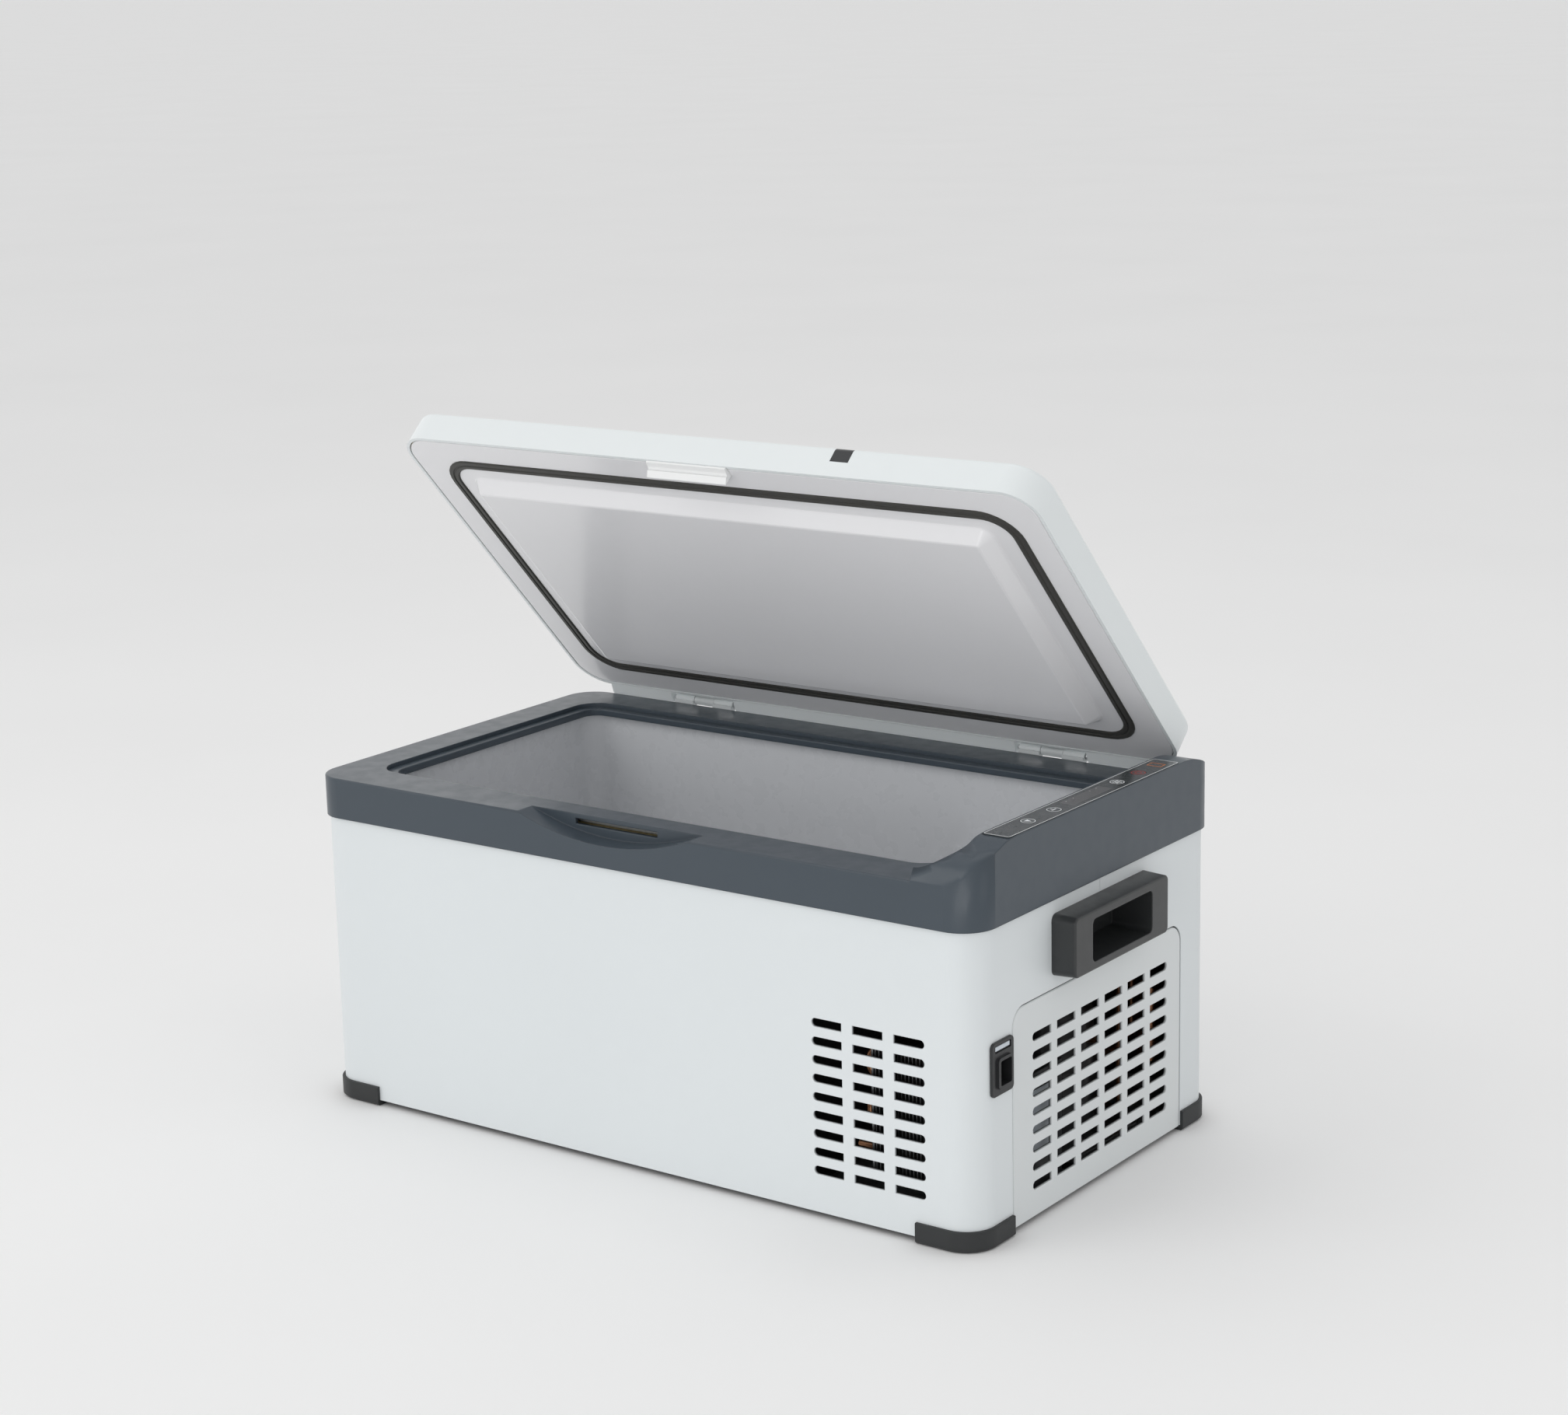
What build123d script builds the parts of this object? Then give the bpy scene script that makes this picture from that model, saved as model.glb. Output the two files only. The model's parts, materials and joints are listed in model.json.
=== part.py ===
from build123d import *
import os
from math import cos, radians, sin

os.makedirs("parts", exist_ok=True)

# Portable compressor cooler fridge, millimetres, +Z up.
# X runs along the length towards the compressor end, -Y is the front, and Z = 0 is the
# underside of the feet. The origin is below the middle of the whole, lid open, so the
# footprint's own middle lies MIDDLE_Y from it. Other Y values count from that middle.

# Driving dimensions
LENGTH = 575.0
DEPTH = 320.0
CORNER_R = 24.0
BODY_BOTTOM = 4.0
COLLAR_BOTTOM = 218.0
RIM_TOP = 248.0
PANEL_TOP = 273.0
LID_OPEN = 47.0
MIDDLE_Y = -8.3

# Outer shells
SHELL_INSET = 2.4
SHELL_WALL = 2.4
SHELL_TOP = 232.0
SHELL_X = LENGTH / 2 - SHELL_INSET
SHELL_Y = DEPTH / 2 - SHELL_INSET
SHELL_R = CORNER_R - SHELL_INSET
FLANGE_WIDTH = 10.0

# Vent slots
SLOT_LENGTH = 24.0
SLOT_HEIGHT = 6.0
SLOT_PITCH_Z = 13.0
SLOT_ROWS = 9
FRONT_SLOTS_X = (169.0, 32.6, 3)
FRONT_SLOTS_TOP = 138.0
SIDE_SLOTS_Y = (-75.5, 31.3, 6)
SIDE_SLOTS_TOP = 129.5

# Side panel
PANEL_HALF_WIDTH = 112.0
PANEL_HEIGHT_TOP = 155.0
PANEL_CORNER_R = 13.0
PANEL_GAP = 1.0

# Tub opening in the collar
OPENING_X = (-257.5, 233.0)
OPENING_Y = (-124.0, 128.0)
OPENING_R = 20.0

# Tub
TUB_WALL = 1.6
TUB_X_DEEP = 103.0
TUB_FLOOR_DEEP = 42.0
TUB_FLOOR_SHALLOW = 180.0
TUB_TOP = 239.8
TUB_DRAFT = 1.5

# Raised control end of the collar
LID_RIGHT = 263.0
CONTROL_WALL_X = LID_RIGHT + 1.0
OVERLAY_X = (265.2, 286.4)
OVERLAY_Y = (-116.5, 108.0)
KEY_X = 275.5
KEYS_Y = {"key_mode": -76.0, "key_minus": -43.5, "key_plus": 39.5, "key_power": 68.5}
KEY_R = 5.2
KEY_TRAVEL = 0.6

# Finger scoop and latch
LATCH_X = -15.0
SCOOP_WIDTH = 151.0
SCOOP_DROP = 14.3
SCOOP_WALL_Y = -143.5
LATCH_SLOT = (72.0, 4.0)
LATCH_SLOT_Z = 242.7

# Handles
HANDLE_SIZE = (126.0, 43.0)
HANDLE_PROUD = 18.0
HANDLE_Z = 186.0
HANDLE_WINDOW = (80.0, 30.0)
HANDLE_POCKET_DEPTH = 31.0

# Lid, in the hinge frame: its origin is on the hinge axis
HINGE_Y = 165.5
HINGE_Z = 250.5
LID_X = (-286.5, LID_RIGHT)
LID_Y = (-154.0 - HINGE_Y, 158.0 - HINGE_Y)
LID_LIP = 249.5 - HINGE_Z
LID_HEIGHT = 25.5
LID_R = 25.0
LID_WALL = 2.4
HINGES_X = (-170.0, 150.0)
HINGE_WIDTH = 56.0
KNUCKLE_R = 4.0
PIN_R = 1.6

LID_PLANE = Plane(
    origin=(0, MIDDLE_Y + HINGE_Y, HINGE_Z),
    x_dir=(1, 0, 0),
    z_dir=(0, sin(radians(LID_OPEN)), cos(radians(LID_OPEN))),
)
LID_SIDE = Plane(origin=(0, MIDDLE_Y + HINGE_Y, HINGE_Z), x_dir=LID_PLANE.y_dir, z_dir=(1, 0, 0))
RIGHT_FACE = Plane(origin=(SHELL_X, MIDDLE_Y, 0), x_dir=(0, 1, 0), z_dir=(1, 0, 0))
LEFT_FACE = Plane(origin=(-SHELL_X, MIDDLE_Y, 0), x_dir=(0, -1, 0), z_dir=(-1, 0, 0))
SIDE_PROFILE = Plane(origin=(0, MIDDLE_Y, 0), x_dir=(0, 1, 0), z_dir=(1, 0, 0))


def rounded(plane, x_span, y_span, radius):
    """Rounded rectangle between two X values and two Y values of a plane."""
    with BuildSketch(plane) as outline:
        with Locations(((x_span[0] + x_span[1]) / 2, (y_span[0] + y_span[1]) / 2)):
            RectangleRounded(x_span[1] - x_span[0], y_span[1] - y_span[0], radius)
    return outline.sketch


def at_height(z):
    """Level plane over the footprint."""
    return Plane(origin=(0, MIDDLE_Y, z))


def facing_front(y):
    """Upright plane at a depth, seen from the front."""
    return Plane(origin=(0, MIDDLE_Y + y, 0), x_dir=(1, 0, 0), z_dir=(0, -1, 0))


def facing_rear(y):
    """Upright plane at a depth, seen from the rear."""
    return Plane(origin=(0, MIDDLE_Y + y, 0), x_dir=(-1, 0, 0), z_dir=(0, 1, 0))


def body_outline(z, inset, radius=None):
    """Outline of the whole footprint, drawn in by an inset."""
    half_x = LENGTH / 2 - inset
    half_y = DEPTH / 2 - inset
    corner = CORNER_R - inset if radius is None else radius
    return rounded(at_height(z), (-half_x, half_x), (-half_y, half_y), corner)


def box_between(low, high):
    """Plain block between two corners, for clearance cuts and small housings."""
    with BuildPart() as block:
        with BuildSketch(at_height(low[2])):
            with Locations(((low[0] + high[0]) / 2, (low[1] + high[1]) / 2)):
                Rectangle(high[0] - low[0], high[1] - low[1])
        extrude(amount=high[2] - low[2])
    return block.part


def vent_slots(plane, first, top):
    """Columns of flat slots. The outer ends of the outer columns are half round."""
    start, pitch, columns = first
    with BuildSketch(plane) as slots:
        for column in range(columns):
            x = start + column * pitch
            rows = [top - row * SLOT_PITCH_Z for row in range(SLOT_ROWS)]
            side = {0: -1, columns - 1: 1}.get(column, 0)
            if side == 0:
                with Locations(*[(x, z) for z in rows]):
                    Rectangle(SLOT_LENGTH, SLOT_HEIGHT)
            else:
                cap_x = x + side * (SLOT_LENGTH - SLOT_HEIGHT) / 2
                with Locations(*[(x - side * SLOT_HEIGHT / 4, z) for z in rows]):
                    Rectangle(SLOT_LENGTH - SLOT_HEIGHT / 2, SLOT_HEIGHT)
                with Locations(*[(cap_x, z) for z in rows]):
                    Circle(SLOT_HEIGHT / 2)
    return slots.sketch


def tube(points, bend, radius):
    """Round tube or bar along straight runs with equal bends."""
    with BuildPart() as pipe:
        with BuildLine() as path:
            FilletPolyline(*[(x, MIDDLE_Y + y, z) for x, y, z in points], radius=bend)
        with BuildSketch(Plane(origin=path.line @ 0, z_dir=path.line % 0)):
            Circle(radius)
        sweep(path=path.line)
    return pipe.part


# Outer shells -----------------------------------------------------------------

INLET_Y = (-140.0, -113.5)
INLET_Z = (103.5, 140.5)

with BuildPart() as shell_ring:
    extrude(body_outline(BODY_BOTTOM, SHELL_INSET), amount=SHELL_TOP - BODY_BOTTOM)
    floor_top = BODY_BOTTOM + SHELL_WALL
    extrude(
        body_outline(floor_top, SHELL_INSET + SHELL_WALL),
        amount=SHELL_TOP - floor_top,
        mode=Mode.SUBTRACT,
    )
    extrude(
        body_outline(BODY_BOTTOM, SHELL_INSET + FLANGE_WIDTH, SHELL_R - FLANGE_WIDTH),
        amount=SHELL_WALL,
        mode=Mode.SUBTRACT,
    )
    # Frame that the side panel closes against, behind the wall
    frame_depth = SHELL_X - SHELL_WALL - 2.2
    rebate = 6.0
    add(
        box_between(
            (frame_depth, -PANEL_HALF_WIDTH - rebate, BODY_BOTTOM),
            (SHELL_X - SHELL_WALL, PANEL_HALF_WIDTH + rebate, PANEL_HEIGHT_TOP + rebate),
        )
    )
    add(
        box_between(
            (frame_depth, -PANEL_HALF_WIDTH + rebate, BODY_BOTTOM),
            (SHELL_X, PANEL_HALF_WIDTH - rebate, PANEL_HEIGHT_TOP - rebate),
        ),
        mode=Mode.SUBTRACT,
    )
    panel_hole = rounded(
        RIGHT_FACE,
        (-PANEL_HALF_WIDTH - PANEL_GAP, PANEL_HALF_WIDTH + PANEL_GAP),
        (BODY_BOTTOM - 2 * PANEL_CORNER_R, PANEL_HEIGHT_TOP + PANEL_GAP),
        PANEL_CORNER_R + PANEL_GAP,
    )
    extrude(panel_hole, amount=-SHELL_WALL, mode=Mode.SUBTRACT)
    # Handle pockets, power inlet and vents
    pocket_y = (-HANDLE_WINDOW[0] / 2 - 3, HANDLE_WINDOW[0] / 2 + 3)
    pocket_z = (HANDLE_Z - HANDLE_WINDOW[1] / 2 - 3, HANDLE_Z + HANDLE_WINDOW[1] / 2 + 3)
    for end_face in (RIGHT_FACE, LEFT_FACE):
        extrude(rounded(end_face, pocket_y, pocket_z, 6), amount=-SHELL_WALL, mode=Mode.SUBTRACT)
    inlet_hole = rounded(
        RIGHT_FACE, (INLET_Y[0] + 3.5, INLET_Y[1] - 3.0), (INLET_Z[0] + 3, INLET_Z[1] - 3), 2
    )
    extrude(inlet_hole, amount=-8, mode=Mode.SUBTRACT)
    front_slots = vent_slots(facing_front(-SHELL_Y), FRONT_SLOTS_X, FRONT_SLOTS_TOP)
    extrude(front_slots, amount=-SHELL_WALL, mode=Mode.SUBTRACT)
    rear_slots = vent_slots(facing_front(SHELL_Y), FRONT_SLOTS_X, FRONT_SLOTS_TOP)
    extrude(rear_slots, amount=SHELL_WALL, mode=Mode.SUBTRACT)

SEAM = 0.15
with BuildPart() as front_shell:
    add(shell_ring.part)
    split(bisect_by=facing_front(-SEAM), keep=Keep.TOP)
front_shell.part.label = "front_shell"

with BuildPart() as rear_shell:
    add(shell_ring.part)
    split(bisect_by=facing_front(SEAM), keep=Keep.BOTTOM)
rear_shell.part.label = "rear_shell"

with BuildPart() as side_vent_panel:
    panel_outline = rounded(
        RIGHT_FACE,
        (-PANEL_HALF_WIDTH, PANEL_HALF_WIDTH),
        (BODY_BOTTOM - 2 * PANEL_CORNER_R, PANEL_HEIGHT_TOP),
        PANEL_CORNER_R,
    )
    extrude(panel_outline, amount=-SHELL_WALL + 0.1)
    split(bisect_by=at_height(BODY_BOTTOM), keep=Keep.TOP)
    extrude(vent_slots(RIGHT_FACE, SIDE_SLOTS_Y, SIDE_SLOTS_TOP), amount=-8, mode=Mode.SUBTRACT)
    outer_edges = side_vent_panel.edges().group_by(Axis.X)[-1].filter_by(
        lambda edge: edge.length > 2 * PANEL_CORNER_R or edge.center().Z > PANEL_HEIGHT_TOP - 8
    )
    chamfer(outer_edges.filter_by(lambda edge: edge.center().Z > BODY_BOTTOM + 1), 0.6)
    # Snap tabs that reach behind the frame at the top
    with BuildSketch(SIDE_PROFILE.offset(frame_depth - 1.8)):
        with Locations((-70, PANEL_HEIGHT_TOP - 9), (70, PANEL_HEIGHT_TOP - 9)):
            Rectangle(18, 5)
    extrude(amount=SHELL_X - SHELL_WALL - frame_depth + 2.4)
    with BuildSketch(SIDE_PROFILE.offset(frame_depth - 1.8)):
        with Locations((-70, PANEL_HEIGHT_TOP - 5.5), (70, PANEL_HEIGHT_TOP - 5.5)):
            Rectangle(18, 6)
    extrude(amount=1.6)
side_vent_panel.part.label = "side_vent_panel"

# Base pan -----------------------------------------------------------------------

PAN_BOTTOM = BODY_BOTTOM + SHELL_WALL
PAN_WALL = 2.0
PAN_GAP = 0.6
with BuildPart() as base_pan:
    pan_inset = SHELL_INSET + SHELL_WALL + PAN_GAP
    extrude(body_outline(PAN_BOTTOM, pan_inset), amount=12)
    extrude(body_outline(PAN_BOTTOM + PAN_WALL, pan_inset + PAN_WALL), amount=12, mode=Mode.SUBTRACT)
    add(
        box_between((SHELL_X - 10, -PANEL_HALF_WIDTH - 8, PAN_BOTTOM), (SHELL_X, PANEL_HALF_WIDTH + 8, 30)),
        mode=Mode.SUBTRACT,
    )
    with BuildSketch(at_height(PAN_BOTTOM)):
        with GridLocations(0, 22, 1, 9):
            with Locations((210, 0)):
                SlotOverall(90, 6)
    extrude(amount=PAN_WALL, mode=Mode.SUBTRACT)
    with BuildSketch(at_height(PAN_BOTTOM + PAN_WALL)):
        with Locations((-60, -110), (-60, -40), (-60, 40), (-60, 110)):
            SlotOverall(330, 8)
    extrude(amount=0.8)
base_pan.part.label = "base_pan"

# Collar -------------------------------------------------------------------------

RIM_THICK = 3.5
SKIRT = 2.0


def s_ramp():
    """Space above the raised end: low at the front corner, then an S up to the control top."""
    with BuildPart() as space:
        with BuildSketch(SIDE_PROFILE.offset(LENGTH / 2 + 1)):
            with BuildLine():
                Spline(
                    (-DEPTH / 2, RIM_TOP + 0.4),
                    (-153, 258.5),
                    (-143, 265.2),
                    (-129, 269.6),
                    (-100, PANEL_TOP),
                    tangents=((0.6, 0.8), (1, 0)),
                )
                Polyline(
                    (-100, PANEL_TOP),
                    (-100, PANEL_TOP + 10),
                    (-DEPTH / 2 - 5, PANEL_TOP + 10),
                    (-DEPTH / 2 - 5, RIM_TOP + 0.4),
                    (-DEPTH / 2, RIM_TOP + 0.4),
                )
            make_face()
        extrude(amount=-80)
    return space.part


def control_outline(z, shrink=0.0):
    """Raised end in plan: the footprint less the rounded corner of the lid."""
    with BuildSketch(at_height(z)) as outline:
        RectangleRounded(LENGTH - 2 * shrink, DEPTH - 2 * shrink, CORNER_R - shrink)
        with Locations((CONTROL_WALL_X + shrink, LID_Y[0] + HINGE_Y - 1 - shrink)):
            RectangleRounded(
                2 * LENGTH, 3 * DEPTH, LID_R + 1 + shrink, align=(Align.MAX, Align.MIN), mode=Mode.SUBTRACT
            )
        with Locations((CONTROL_WALL_X - LID_R - 1, -DEPTH / 2)):
            Rectangle(LENGTH, 30, align=(Align.MAX, Align.CENTER), mode=Mode.SUBTRACT)
    return outline.sketch


with BuildPart() as collar:
    extrude(body_outline(COLLAR_BOTTOM, 0), amount=RIM_TOP - COLLAR_BOTTOM)
    fillet(collar.edges().group_by(Axis.Z)[-1], 1.2)
    extrude(control_outline(RIM_TOP - 2), amount=PANEL_TOP - RIM_TOP + 2)
    add(s_ramp(), mode=Mode.SUBTRACT)
    # Hollow underside
    extrude(
        body_outline(COLLAR_BOTTOM, SKIRT, CORNER_R - SKIRT),
        amount=RIM_TOP - RIM_THICK - COLLAR_BOTTOM,
        mode=Mode.SUBTRACT,
    )
    hollow_x = (CONTROL_WALL_X + 2.5, LENGTH / 2 - 2.5)
    add(
        box_between((hollow_x[0], -112, RIM_TOP - RIM_THICK - 1), (hollow_x[1], DEPTH / 2 - 28, PANEL_TOP - 3)),
        mode=Mode.SUBTRACT,
    )
    # Wall round the tub opening
    extrude(
        rounded(
            at_height(TUB_TOP),
            (OPENING_X[0] - 3, OPENING_X[1] + 3),
            (OPENING_Y[0] - 3, OPENING_Y[1] + 3),
            OPENING_R + 3,
        ),
        amount=RIM_TOP - 1 - TUB_TOP,
    )
    # Housing behind the finger scoop and the latch slot
    housing_x = (LATCH_X - SCOOP_WIDTH / 2 - 5, LATCH_X + SCOOP_WIDTH / 2 + 5)
    add(
        box_between(
            (housing_x[0], -DEPTH / 2 + 1, SHELL_TOP + 0.2),
            (housing_x[1], SCOOP_WALL_Y + 2.5, RIM_TOP - 1),
        )
    )
    extrude(rounded(at_height(COLLAR_BOTTOM), OPENING_X, OPENING_Y, OPENING_R), amount=60, mode=Mode.SUBTRACT)
    with BuildSketch(facing_front(SCOOP_WALL_Y)):
        with BuildLine():
            left_tip = (LATCH_X - SCOOP_WIDTH / 2, RIM_TOP)
            right_tip = (LATCH_X + SCOOP_WIDTH / 2, RIM_TOP)
            ThreePointArc(left_tip, (LATCH_X, RIM_TOP - SCOOP_DROP), right_tip)
            Polyline(right_tip, (right_tip[0], RIM_TOP + 5), (left_tip[0], RIM_TOP + 5), left_tip)
        make_face()
    extrude(amount=DEPTH / 2 + SCOOP_WALL_Y + 1, mode=Mode.SUBTRACT)
    add(
        box_between(
            (LATCH_X - LATCH_SLOT[0] / 2, SCOOP_WALL_Y - 1, LATCH_SLOT_Z - LATCH_SLOT[1] / 2),
            (LATCH_X + LATCH_SLOT[0] / 2, SCOOP_WALL_Y + 8, LATCH_SLOT_Z + LATCH_SLOT[1] / 2),
        ),
        mode=Mode.SUBTRACT,
    )
    # Seat for the control overlay, with holes for the keys and the display
    extrude(rounded(at_height(PANEL_TOP - 1), OVERLAY_X, OVERLAY_Y, 2.5), amount=2, mode=Mode.SUBTRACT)
    with BuildSketch(at_height(PANEL_TOP - 6)):
        with Locations(*[(KEY_X, y) for y in KEYS_Y.values()]):
            Circle(KEY_R + 0.4)
        with Locations((KEY_X, -2)):
            Rectangle(12.5, 54)
    extrude(amount=8, mode=Mode.SUBTRACT)
collar.part.label = "collar"

# Controls -----------------------------------------------------------------------

OVERLAY_BOTTOM = PANEL_TOP - 1
OVERLAY_TOP = PANEL_TOP + 0.2
with BuildPart() as control_overlay:
    extrude(
        rounded(
            at_height(OVERLAY_BOTTOM),
            (OVERLAY_X[0] + 0.2, OVERLAY_X[1] - 0.2),
            (OVERLAY_Y[0] + 0.2, OVERLAY_Y[1] - 0.2),
            2.3,
        ),
        amount=OVERLAY_TOP - OVERLAY_BOTTOM,
    )
    with BuildSketch(at_height(OVERLAY_BOTTOM)):
        with Locations(*[(KEY_X, y) for y in KEYS_Y.values()]):
            Circle(KEY_R + 0.3)
        with Locations((KEY_X, -2)):
            RectangleRounded(12, 52, 1.5)
    extrude(amount=3, mode=Mode.SUBTRACT)
control_overlay.part.label = "control_overlay"

with BuildPart() as display_window:
    extrude(rounded(at_height(OVERLAY_BOTTOM), (KEY_X - 5.9, KEY_X + 5.9), (-27.9, 23.9), 1.4), amount=1.2)
display_window.part.label = "display_window"

BOARD_TOP = 261.0
keys = {}
for name, key_y in KEYS_Y.items():
    with BuildPart() as key:
        with BuildSketch(at_height(OVERLAY_TOP - 1.6)):
            with Locations((KEY_X, key_y)):
                Circle(KEY_R)
        extrude(amount=1.6)
        fillet(key.edges().group_by(Axis.Z)[-1], 0.4)
        with BuildSketch(at_height(BOARD_TOP + 5.0)):
            with Locations((KEY_X, key_y)):
                Circle(2.0)
        extrude(amount=OVERLAY_TOP - 1.6 - BOARD_TOP - 5.0)
    key.part.label = name
    keys[name] = key.part

with BuildPart() as control_board:
    extrude(rounded(at_height(BOARD_TOP - 1.6), (KEY_X - 7, KEY_X + 7), (-100, 100), 1), amount=1.6)
    with BuildSketch(at_height(BOARD_TOP)):
        with Locations(*[(KEY_X, y) for y in KEYS_Y.values()]):
            Rectangle(6, 6)
    extrude(amount=3.2)
    with BuildSketch(at_height(BOARD_TOP)):
        with Locations((KEY_X, -2)):
            Rectangle(11, 48)
    extrude(amount=7.5)
control_board.part.label = "control_board"

# Tub, insulation and evaporator -----------------------------------------------


def tub_form(grow):
    """Space of the tub: a deep part, and a shallow shelf over the compressor bay."""
    x0, x1 = OPENING_X[0] + 4 - grow, OPENING_X[1] - 3 + grow
    y0, y1 = OPENING_Y[0] + 2.5 - grow, OPENING_Y[1] - 2.5 + grow
    corner = 16 + grow
    with BuildPart() as form:
        top = at_height(TUB_TOP)
        extrude(
            rounded(top, (x0, TUB_X_DEEP + grow), (y0, y1), corner),
            amount=-(TUB_TOP - TUB_FLOOR_DEEP + grow),
            taper=TUB_DRAFT,
        )
        extrude(
            rounded(top, (x0, x1), (y0, y1), corner),
            amount=-(TUB_TOP - TUB_FLOOR_SHALLOW + grow),
            taper=TUB_DRAFT,
        )
    return form.part


with BuildPart() as liner_tub:
    add(tub_form(TUB_WALL))
    extrude(
        rounded(
            at_height(TUB_TOP - TUB_WALL - 0.2),
            (OPENING_X[0] - 5, OPENING_X[1] + 5),
            (OPENING_Y[0] - 5, OPENING_Y[1] + 5),
            OPENING_R + 4,
        ),
        amount=TUB_WALL,
    )
    add(tub_form(0), mode=Mode.SUBTRACT)
liner_tub.part.label = "liner_tub"

with BuildPart() as evaporator_plate:
    add(tub_form(TUB_WALL + 1.5))
    add(tub_form(TUB_WALL + 0.1), mode=Mode.SUBTRACT)
    split(bisect_by=at_height(196), keep=Keep.BOTTOM)
    split(bisect_by=at_height(72), keep=Keep.TOP)
    split(bisect_by=SIDE_PROFILE.offset(70), keep=Keep.BOTTOM)
evaporator_plate.part.label = "evaporator_plate"

FOAM_INSET = SHELL_INSET + SHELL_WALL + 0.8
BAY_WALL_X = 137.0
BAY_TOP = 152.0
with BuildPart() as foam_insulation:
    extrude(body_outline(PAN_BOTTOM + 3.0, FOAM_INSET + 2.4), amount=12)
    extrude(body_outline(PAN_BOTTOM + 15.0, FOAM_INSET), amount=TUB_TOP - 2.2 - PAN_BOTTOM - 15.0)
    add(tub_form(TUB_WALL + 1.7), mode=Mode.SUBTRACT)
    add(
        box_between((BAY_WALL_X, -DEPTH, 0), (LENGTH, DEPTH, BAY_TOP)),
        mode=Mode.SUBTRACT,
    )
    for end in (-1, 1):
        inner = SHELL_X - (HANDLE_POCKET_DEPTH - HANDLE_PROUD) - 5
        add(
            box_between(
                (min(end * inner, end * LENGTH), -60, HANDLE_Z - 23),
                (max(end * inner, end * LENGTH), 60, HANDLE_Z + 23),
            ),
            mode=Mode.SUBTRACT,
        )
    add(
        box_between((SHELL_X - 8, -PANEL_HALF_WIDTH - 8, 0), (SHELL_X, PANEL_HALF_WIDTH + 8, 163)),
        mode=Mode.SUBTRACT,
    )
    add(
        box_between(
            (housing_x[0] - 1, -DEPTH / 2, SHELL_TOP - 0.4), (housing_x[1] + 1, SCOOP_WALL_Y + 3, RIM_TOP)
        ),
        mode=Mode.SUBTRACT,
    )
foam_insulation.part.label = "foam_insulation"

with BuildPart() as light_lens:
    lens_face = Plane(origin=(OPENING_X[1] - 3.7, MIDDLE_Y, 0), x_dir=(0, -1, 0), z_dir=(-1, 0, 0))
    extrude(rounded(lens_face, (-20, 20), (216, 227), 4), amount=2.5)
    fillet(light_lens.edges().group_by(Axis.X)[0], 1.0)
light_lens.part.label = "light_lens"

# Handles ------------------------------------------------------------------------


def carry_handle(face):
    """Block with a rounded window that opens into a finger pocket."""
    half_w, half_h = HANDLE_SIZE[0] / 2, HANDLE_SIZE[1] / 2
    win_w, win_h = HANDLE_WINDOW[0] / 2, HANDLE_WINDOW[1] / 2
    with BuildPart() as handle:
        extrude(
            rounded(face, (-half_w, half_w), (HANDLE_Z - half_h, HANDLE_Z + half_h), 5),
            amount=HANDLE_PROUD,
            taper=3,
        )
        outer_face = handle.faces().sort_by(Axis(face.origin, face.z_dir))[-1]
        fillet(outer_face.edges(), 1.2)
        extrude(
            rounded(
                face, (-win_w - 2.6, win_w + 2.6), (HANDLE_Z - win_h - 2.6, HANDLE_Z + win_h + 2.6), 5.6
            ),
            amount=-(HANDLE_POCKET_DEPTH - HANDLE_PROUD + 2.2),
        )
        extrude(
            rounded(
                face.offset(HANDLE_PROUD), (-win_w, win_w), (HANDLE_Z - win_h, HANDLE_Z + win_h), 4
            ),
            amount=-HANDLE_POCKET_DEPTH,
            taper=3,
            mode=Mode.SUBTRACT,
        )
    return handle.part


with BuildPart() as handle_right:
    add(carry_handle(RIGHT_FACE))
handle_right.part.label = "handle_right"

with BuildPart() as handle_left:
    add(carry_handle(LEFT_FACE))
handle_left.part.label = "handle_left"

with BuildPart() as handle_screws:
    for face in (RIGHT_FACE, LEFT_FACE):
        with BuildSketch(face.offset(-SHELL_WALL - 2.4)):
            with Locations((-53, HANDLE_Z), (53, HANDLE_Z)):
                Circle(3.4)
        extrude(amount=2.2)
handle_screws.part.label = "handle_screws"

# Feet ---------------------------------------------------------------------------

FOOT_ARM_X = 49.0
FOOT_ARM_Y = 46.5
FOOT_TOP = 14.5
FOOT_PLATE = 22.0
CORNERS = {
    "foot_front_left": (-1, -1),
    "foot_front_right": (1, -1),
    "foot_rear_left": (-1, 1),
    "foot_rear_right": (1, 1),
}
feet = {}
for name, (side_x, side_y) in CORNERS.items():
    with BuildPart() as foot:
        extrude(body_outline(0, 0), amount=FOOT_TOP)
        chamfer(foot.edges().group_by(Axis.Z)[0], 1.6)
        fillet(foot.edges().group_by(Axis.Z)[-1], 0.8)
        extrude(
            body_outline(BODY_BOTTOM, SHELL_INSET - 0.05, SHELL_R), amount=FOOT_TOP, mode=Mode.SUBTRACT
        )
        with BuildSketch(at_height(-1)):
            with Locations((side_x * (LENGTH / 2 - FOOT_ARM_X / 2), side_y * (DEPTH / 2 - FOOT_ARM_Y / 2))):
                Rectangle(FOOT_ARM_X, FOOT_ARM_Y)
            with Locations((side_x * (LENGTH / 2 - FOOT_ARM_X), side_y * (DEPTH / 2 - FOOT_ARM_Y))):
                Rectangle(2 * (FOOT_ARM_X - FOOT_PLATE), 2 * (FOOT_ARM_Y - FOOT_PLATE), mode=Mode.SUBTRACT)
        extrude(amount=FOOT_TOP + 5, mode=Mode.INTERSECT)
        with BuildSketch(at_height(0)):
            with Locations(
                (side_x * (LENGTH / 2 - 13), side_y * (DEPTH / 2 - 36)),
                (side_x * (LENGTH / 2 - 38), side_y * (DEPTH / 2 - 13)),
            ):
                Circle(3.6)
        extrude(amount=2.2, mode=Mode.SUBTRACT)
    foot.part.label = name
    feet[name] = foot.part

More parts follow.
